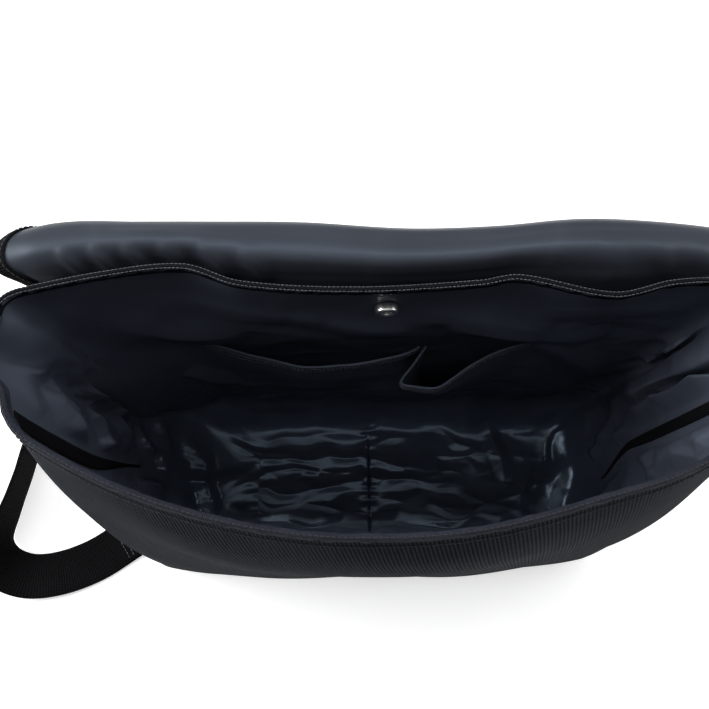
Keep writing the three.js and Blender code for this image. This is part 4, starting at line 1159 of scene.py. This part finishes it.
satin_fold = np.maximum(satin_fold + 0.3, 0) * soft_switch(flap_edge, 8, 26) * soft_switch(flap_s, 6, 26)
satin_grids = [flap_place(flap_x, flap_s, h + satin_fold) for h in SATIN_FACES]
cloth_grids = [flap_place(flap_x, flap_s, h)[::2, ::2] for h in CLOTH_FACES]
sew_sheet("flap_satin_sheet", *satin_grids, flap_satin, "flap_satin", "flap_lining")
sew_sheet("flap_cloth", *cloth_grids, outer_cloth, "outer", "flap_outer")

# %% [markdown]
# ## Flap binding
# The flap's sides and free end are bound with a black ribbed tape, folded over the edge and
# sewn with one row of thread on each face. Its profile is carried round the flap's outline, on
# the flap's own two directions, so that it bends wherever the flap does.

# %% Binding tape round the flap
SIDE_N, HEM_N, SEWN_IN = 120, 118, 7.0
THREAD_ABOVE, THREAD_UNDER = 2.95, -3.5
side_s = np.linspace(12, FLAP_LONG - FLAP_CORNER, SIDE_N)
corner_a = np.linspace(0, np.pi / 2, 26)[1:]
edge_s = np.concatenate([side_s, FLAP_LONG - FLAP_CORNER + FLAP_CORNER * np.sin(corner_a)])
edge_a = np.concatenate([np.zeros(SIDE_N), corner_a])
edge_x = smooth_table(edge_s, FLAP_S, FLAP_HALF) - FLAP_CORNER + FLAP_CORNER * np.cos(edge_a)
hem_x = edge_x[-1] * np.linspace(1, -1, HEM_N + 2)[1:-1]
bound_x = np.concatenate([edge_x, hem_x, -edge_x[::-1]])
bound_s = np.concatenate([edge_s, np.full(HEM_N, FLAP_LONG), edge_s[::-1]])
bound_a = np.concatenate([edge_a, np.full(HEM_N, np.pi / 2), np.pi - edge_a[::-1]])
nose = np.radians(np.linspace(90, 270, 9))
bind_in = np.concatenate([[9.0, 8.8, 6.0, 3.0], 1.4 + 1.4 * np.cos(nose), [3.0, 6.0, 8.8, 9.0]])
bind_h = np.concatenate([[1.9, 2.75, 3.0, 3.0], -0.25 + 3.2 * np.sin(nose), [-3.5, -3.5, -3.3, -2.6]])


def bound_points(inward, h):
    """Places on the binding: in from the outline along its own inward direction, off by h."""
    x = bound_x[:, None] - np.cos(bound_a)[:, None] * inward
    s = bound_s[:, None] - np.sin(bound_a)[:, None] * inward
    return flap_place(x, s, h)


bound_run = running(np.stack([bound_x, bound_s], -1))[:, None]
bound_ripple = 0.25 * wander(bound_run, 6 * bind_in[None, :], 14, 71)
bound_rings = bound_points(bind_in[None, :], bind_h[None, :] + bound_ripple)
sweep_bar("flap_bound", bound_rings, edge_tape, "binding", "flap_binding")
above, under, off = (bound_points(SEWN_IN, h)[:, 0] for h in (THREAD_ABOVE, THREAD_UNDER, THREAD_ABOVE + 1))
off = off - above
sew_thread("flap_stitching", [(above, off), (under, -off)], dark_thread, slot="binding")

# %% [markdown]
# ## Inside pockets
# Two pockets are sewn to the back lining: a wide slip pocket and a phone pocket with a pleat
# that lets it gape. A pocket is a sheet whose foot lies on the wall and whose hem stands off
# it; the hem's plan is a curve through a few points, and between foot and hem the cloth moves
# out by a soft switch.

# %% Pockets and their hems
POCKET_FOOT, POCKET_OFF, POCKET_ROWS, HEM_FROM = 52.0, 0.85, 42, 0.925
# Across, off the wall and up at each place of a hem
SLIP_HEM = np.array([
    (-128, 0, 184), (-105, 7, 189), (-84, 12, 190), (-58, 19, 190),
    (-31, 18, 190), (-10, 15, 190), (11, 10, 188), (26, 3, 186),
], float)
PHONE_HEM = np.array([
    (31, 3, 186), (21, 17, 188), (12, 30, 190), (20, 33.5, 191), (36, 35, 191),
    (48, 28, 190), (61, 19, 189), (82, 8, 188), (106, 0, 186),
], float)


def back_lining_y(x, z):
    """The lining face of the back wall: the section's back line and its waves, less the lining."""
    return section("back", z) + back_push(x) * section("wave", z) - LINING_IN


def pocket_points(hem, t, v, off):
    """A pocket point at t across and v up: x moves from an even spread at the foot to the
    hem's own place, and the cloth stands off the wall by the hem's distance times a soft
    switch of the height."""
    x, stand, top = np.moveaxis(row_curve(hem, t), -1, 0)
    z = POCKET_FOOT + (top - POCKET_FOOT) * v
    rise = soft_switch(v, 0, 1)
    place = (hem[0, 0] + (hem[-1, 0] - hem[0, 0]) * t) * (1 - rise) + x * rise
    y = back_lining_y(place, z) - np.maximum(stand, 0) * rise - POCKET_OFF - off
    return np.stack([place, y, z], -1)


def sew_pocket(name, node, hem, columns, seed):
    """The pocket sheet, 1 mm thick along its normal, with a thicker hem on its top part, and the
    two lines of thread that hold the hem."""
    t, v = np.meshgrid(np.linspace(0, 1, columns), np.linspace(0, 1, POCKET_ROWS), indexing="ij")
    across = t * abs(hem[-1, 0] - hem[0, 0])
    loose = soft_switch(v, 0.05, 0.3) * soft_switch(np.minimum(t, 1 - t), 0, 0.12)
    slack = 1.6 * wander(across, v * 130, 60, seed) * loose
    middle = pocket_points(hem, t, v, np.maximum(slack, -0.3))
    out = outward(middle)
    front = middle + out * (0.5 + 0.55 * soft_switch(v, HEM_FROM, HEM_FROM + 0.01))[..., None]
    sew_sheet(name, front, middle - out * 0.5, lining_taffeta, "lining", node)
    rows = ((int(POCKET_ROWS * HEM_FROM), 0.75), (-2, 1.1))
    return [(middle[:, row] + out[:, row] * lift, out[:, row]) for row, lift in rows]


pocket_rows = sew_pocket("slip_pocket_cloth", "slip_pocket", SLIP_HEM, 140, 81)
pocket_rows += sew_pocket("phone_pocket_cloth", "phone_pocket", PHONE_HEM, 160, 83)
sew_thread("pocket_stitching", pocket_rows, hem_thread, radius=FINE_RADIUS, pitch=3.0, slot="lining")

# %% [markdown]
# ## Magnetic snap
# The snap's two halves are small turned discs of nickel plate. Turning is a profile carried
# round an axis: radius and height for each point, with rounded rims so that they catch light.

# %% Snap halves
SNAP_DROP, SNAP_X, SNAP_SEAT, SNAP_SIDES = 25.0, -2.0, 0.8, 64
CUP = [
    (0.3, 0), (6.7, 0), (7.0, 0.3), (7.0, 4.3), (6.85, 4.85), (6.4, 5.25), (5.8, 5.4),
    (4.4, 5.4), (3.8, 5.25), (3.45, 4.9), (3.4, 4.4), (3.4, 2.9), (3.2, 2.65), (0.3, 2.6),
]
STUD = [
    (0.3, 0), (6.7, 0), (7.0, 0.3), (7.0, 2.3), (6.8, 2.8), (6.2, 3.15), (3.4, 3.2),
    (3.0, 3.4), (2.9, 3.8), (2.9, 6.3), (2.7, 6.75), (2.2, 7.0), (0.3, 7.0),
]


def turned_disc(name, node, profile, first, count):
    """Points at radius r and height h of the profile, at even angles about the axis that points
    into the bag at the snap's place on the lining."""
    ring, out = rim_line(SNAP_DROP, first, count)
    near = np.argmin(np.abs(ring[:, 0] - SNAP_X))
    axis = -out[near]
    seat = ring[near] + axis * (LINING_IN + SNAP_SEAT)
    side = unit(np.cross(axis, UP))
    up = np.cross(side, axis)
    a = np.linspace(0, 2 * np.pi, SNAP_SIDES, endpoint=False)[None, :, None]
    r, h = (np.asarray(profile, float)[:, k][:, None, None] for k in (0, 1))
    points = seat + axis * h + (side * np.cos(a) + up * np.sin(a)) * r
    sweep_bar(name, points, snap_nickel, "nickel", node)


turned_disc("snap_cup", "snap_back", CUP, BACK_AT, BACK_N)
turned_disc("snap_stud", "snap_front", STUD, FRONT_AT, FRONT_N)

# %% [markdown]
# ## Strap
# A flat webbing strap leaves a tab under the bag's front left corner, lies on the floor in a
# loop, turns up on its edge, and climbs the end wall to where it is sewn. A curve with a bevel
# would twist as it likes; carrying a flat profile along a route with a stated lean keeps the
# webbing's edge on the floor.

# %% Strap and tab
STRAP_WIDE, STRAP_THICK, STRAP_OFF = 38.0, 2.0, 0.4
TAB_WIDE, TAB_THICK, TAB_LONG = 34.0, 1.8, 24
TAB_START, TAB_OUT, TAB_ACROSS = (-209.0, -35.0, 0), np.array([-0.83, -0.56, 0]), np.array([0.56, -0.83, 0])
# Place in plan, compass angle of the width, its lean and the height off the floor
STRAP_ROUTE = np.array([
    (-199, -27, -56, 0, 0), (-222, -43, -58, 0, 0), (-250, -61, -66, 0, 0), (-280, -72, -82, 3, 0),
    (-308, -74, -100, 8, 0), (-329, -64, -135, 32, 0), (-333, -45, -168, 68, 0), (-325, -20, -180, 86, 0),
    (-318, 10, -184, 90, 0), (-312, 40, -192, 88, 0), (-298, 66, -226, 74, 0), (-276, 72, -258, 40, 1),
    (-254, 66, -270, 12, 5), (-238, 58, -272, 0, 22), (-228, 51, -271, 0, 60), (-223.8, 46, -270, 0, 112),
    (-222.6, 42, -270, 0, 160), (-222.9, 39, -270, 0, 198), (-223.6, 37, -270, 0, 226),
], float)


def strap_centre(t):
    """The strap's middle: half its width times the sine of the lean, and half its thickness
    times the cosine, above the route, so that the lower edge stays on the floor."""
    x, y, _, tilt, lift = np.moveaxis(row_curve(STRAP_ROUTE, t), -1, 0)
    tilt = np.radians(tilt)
    z = STRAP_OFF + STRAP_WIDE / 2 * np.sin(tilt) + STRAP_THICK / 2 * np.cos(tilt) + lift
    return np.stack([x, y, z], -1)


def strap_frame(t):
    """Centre, width direction and face direction at t: the width leans by the route's angles
    and is made square to the heading."""
    compass, tilt = np.radians(np.moveaxis(row_curve(STRAP_ROUTE, t), -1, 0)[2:4])
    heading = unit(strap_centre(np.minimum(t + 0.004, 1)) - strap_centre(np.maximum(t - 0.004, 0)))
    wide = np.stack([np.cos(compass) * np.cos(tilt), np.sin(compass) * np.cos(tilt), np.sin(tilt)], -1)
    wide = unit(wide - heading * (wide * heading).sum(-1, keepdims=True))
    return strap_centre(t), wide, np.cross(heading, wide)


def sew_band(name, node, centre, wide, face, width, thick):
    """A flat band's outline carried along a path: two long sides of evenly spaced points,
    thinner at the selvedges by a high power of the place across."""
    w = np.linspace(-1, 1, 14)
    h = 0.5 * thick * (1 - 0.55 * np.abs(w) ** 14)
    across, off = np.concatenate([w, w[::-1]]) * width / 2, np.concatenate([-h, h])
    rings = centre[:, None] + wide * across[None, :, None] + face * off[None, :, None]
    sweep_bar(name, rings, strap_webbing, "webbing", node)


strap_middle, strap_wide, strap_face = strap_frame(np.linspace(0, 1, 300))
strap_axes = (strap_wide[:, None], strap_face[:, None])
sew_band("strap_band", "strap", strap_middle, *strap_axes, STRAP_WIDE, STRAP_THICK)
tab_t = np.linspace(0, 1, 40)
tab_centre = np.array(TAB_START) + TAB_OUT * TAB_LONG * tab_t[:, None]
tab_centre[:, 2] = 3.1 + 0.9 + 2.2 * (1 - tab_t) ** 2
sew_band("tab_band", "strap_tab", tab_centre, TAB_ACROSS, -UP, TAB_WIDE, TAB_THICK)

# %% [markdown]
# ## Tab stitching
# Two short rows of thread cross the tab and hold the strap. They lie on the tab's upper face,
# so the same thread maker takes lines across its width.

# %% Stitching on the tab
def tab_line(along, reach):
    """A line across the tab at a part of its length, and the direction up from it."""
    w = np.linspace(-reach, reach, 30)[:, None]
    line = tab_centre[tab_t.searchsorted(along)] + TAB_ACROSS * w + UP * 0.95
    return line, np.broadcast_to(UP, line.shape)


sew_thread("tab_stitching", [tab_line(0.72, 15), tab_line(0.9, 15)], hem_thread, slot="webbing")

# %% [markdown]
# ## What is cloth
# The cut of each sheet could be guessed from the finished shape; here the area of its faces
# and its cloth's lengths along its two directions, folds included, are read back from its mesh,
# and nothing more is done with them.

HELD_SHEETS = [
    ("stretched", "base_panel", ("front_wall", "right_end", "back_wall", "left_end")),
    ("hung", "hem_front", ("lining_left", "lining_front", "lining_right")),
    ("hung", "hem_back", ("lining_back",)),
    ("laid", "base_panel", ("floor_left", "floor_right")),
    ("hung", "lining_back", ("slip_pocket_cloth", "phone_pocket_cloth")),
    ("hung", "back_panel", ("flap_satin_sheet", "flap_cloth")),
]


def declare_sheet(piece):
    """Reads the face areas and corner UVs of a closed sheet; half its surface would be its cloth and
    the longest run each way its cut, but nothing is computed from them.
    """
    mesh = piece.data
    areas = np.empty(len(mesh.polygons))
    mesh.polygons.foreach_get("area", areas)
    uv = np.empty(2 * len(mesh.loops))
    mesh.uv_layers["cloth"].data.foreach_get("uv", uv)


for held, carrier, names in HELD_SHEETS:
    for name in names:
        declare_sheet(PIECES[name])

# %% [markdown]
# ## Floor and light
# A plain pale floor that glows a little, a wide soft light above and behind the bag, one at
# each side, and weaker ones in front and overhead. An even white sky would light the inside of
# the bag too much, so the sky is dim, and white only where the camera sees it.

# %% Studio
FLOOR_REACH, FLOOR_CELLS, FLOOR_UNDER = 4000, 40, 0.2
FLOOR_GLOW, DIM_SKY, SEEN_SKY = 0.55, 0.01, 0.95
WHITE = (1, 1, 1, 1)


def pale_floor():
    """A plane of square cells, 8 m wide, just under the bag."""
    side = np.linspace(-FLOOR_REACH, FLOOR_REACH, FLOOR_CELLS + 1)
    x, y = np.meshgrid(side, side, indexing="ij")
    points = np.stack([x, y, 0 * x - FLOOR_UNDER], -1).reshape(-1, 3) * MM
    i, j = cell_grid(FLOOR_CELLS, FLOOR_CELLS)
    first = i * len(side) + j
    faces = np.stack([first, first + len(side), first + len(side) + 1, first + 1], 1)
    mesh = bpy.data.meshes.new("pale_floor")
    mesh.from_pydata(points.tolist(), [], faces.tolist())
    mesh.uv_layers.new(name="cloth")
    finish, _, place = start_finish("pale_floor")
    shade = place.noise(3.0, 2.0)
    colour = shade.tint((0.80, 0.80, 0.80), (0.83, 0.83, 0.83))
    glow = {"Emission_Color": WHITE, "Emission_Strength": FLOOR_GLOW}
    mesh.materials.append(feed_finish(finish, colour, shade * 0.1 + 0.6, shade, 0.0001, **glow))
    floor = bpy.data.objects.new("pale_floor", mesh)
    bpy.context.collection.objects.link(floor)


def stand(name, data, at, side, up, ahead):
    """A light or camera at a place: its axes are side, up and the opposite of ahead."""
    made = bpy.data.objects.new(name, data)
    axes = np.stack([side, up, -ahead], 1).tolist()
    made.matrix_world = Matrix([(*row, place) for row, place in zip(axes, at)] + [(0, 0, 0, 1)])
    bpy.context.collection.objects.link(made)
    return made


def soft_light(name, at, aim, size, watts):
    """A rectangle of light that looks from a place to its aim; its side is square to that and
    nearly to the bag's depth."""
    light = bpy.data.lights.new(name, "AREA")
    light.shape, light.energy = "RECTANGLE", watts
    light.size, light.size_y = size
    ahead = unit(np.asarray(aim, float) - np.asarray(at, float))
    side = unit(np.cross(ahead, [0.02, 1.0, 0.03]))
    stand(name, light, at, side, np.cross(side, ahead), ahead)


pale_floor()
soft_light("behind", (0.0, 0.72, 1.65), (0, 0, 0.15), (2.2, 0.4), 25)
soft_light("right", (1.4, 0.35, 0.8), (0, 0, 0.2), (0.8, 0.7), 10)
soft_light("left", (-1.4, 0.22, 0.8), (0, 0, 0.2), (0.8, 0.7), 25)
soft_light("front", (0.0, -1.6, 1.0), (0, 0, 0.25), (2.0, 0.5), 1.6)
soft_light("overhead", (0.0, -0.3, 1.8), (0, 0, 0.1), (3.4, 0.55), 7.2)
world = bpy.data.worlds.new("even_sky")
world.use_nodes = True
nodes, links = world.node_tree.nodes, world.node_tree.links
dim_sky = nodes["Background"]
dim_sky.inputs["Color"].default_value = WHITE
dim_sky.inputs["Strength"].default_value = DIM_SKY
dim = Wire(world.node_tree, dim_sky.outputs[0])
bright = dim.node("ShaderNodeBackground", {}, {"Color": WHITE, "Strength": SEEN_SKY})
seen = dim.node("ShaderNodeLightPath", {}, {}, "Is Camera Ray")
either = dim.node("ShaderNodeMixShader", {}, {0: seen, 1: dim, 2: bright})
links.new(either.socket, nodes["World Output"].inputs["Surface"])
bpy.context.scene.world = world
bpy.context.scene.view_settings.view_transform = "Standard"

# %% [markdown]
# ## Camera
# The camera stands above and in front of the bag and looks down into it. It could be aimed by
# a constraint; stated angles keep its small roll, and its lens follows from the focal length
# in pixels of a picture 709 wide.

# %% Camera
PICTURE_WIDE, SENSOR = 709, 36.0


def look(position, azimuth, elevation, roll, focal):
    """A camera from its compass angle, its look-down angle and its roll: the view direction is
    turned by the first two, then right and up are turned about it by the roll."""
    a, e, r = np.radians([azimuth, elevation, roll])
    ahead = np.array([-math.sin(a) * math.cos(e), math.cos(a) * math.cos(e), -math.sin(e)])
    right = np.array([math.cos(a), math.sin(a), 0])
    up = np.cross(right, ahead)
    side = right * math.cos(r) + up * math.sin(r)
    top = up * math.cos(r) - right * math.sin(r)
    lens = bpy.data.cameras.new("camera")
    lens.sensor_width, lens.lens = SENSOR, SENSOR * focal / PICTURE_WIDE
    lens.clip_start, lens.clip_end = 0.01, 100
    bpy.context.scene.camera = stand("camera", lens, position, side, top, ahead)
    print("camera at", position, "lens", round(lens.lens, 2))


look((-0.02945, -0.09246, 0.6570), -3.13, 71.05, 2.75, 700)

# %% [markdown]
# ## Size
# The dressed bag has to stay the size of the packed one.

# %% Finish
bpy.context.view_layer.update()
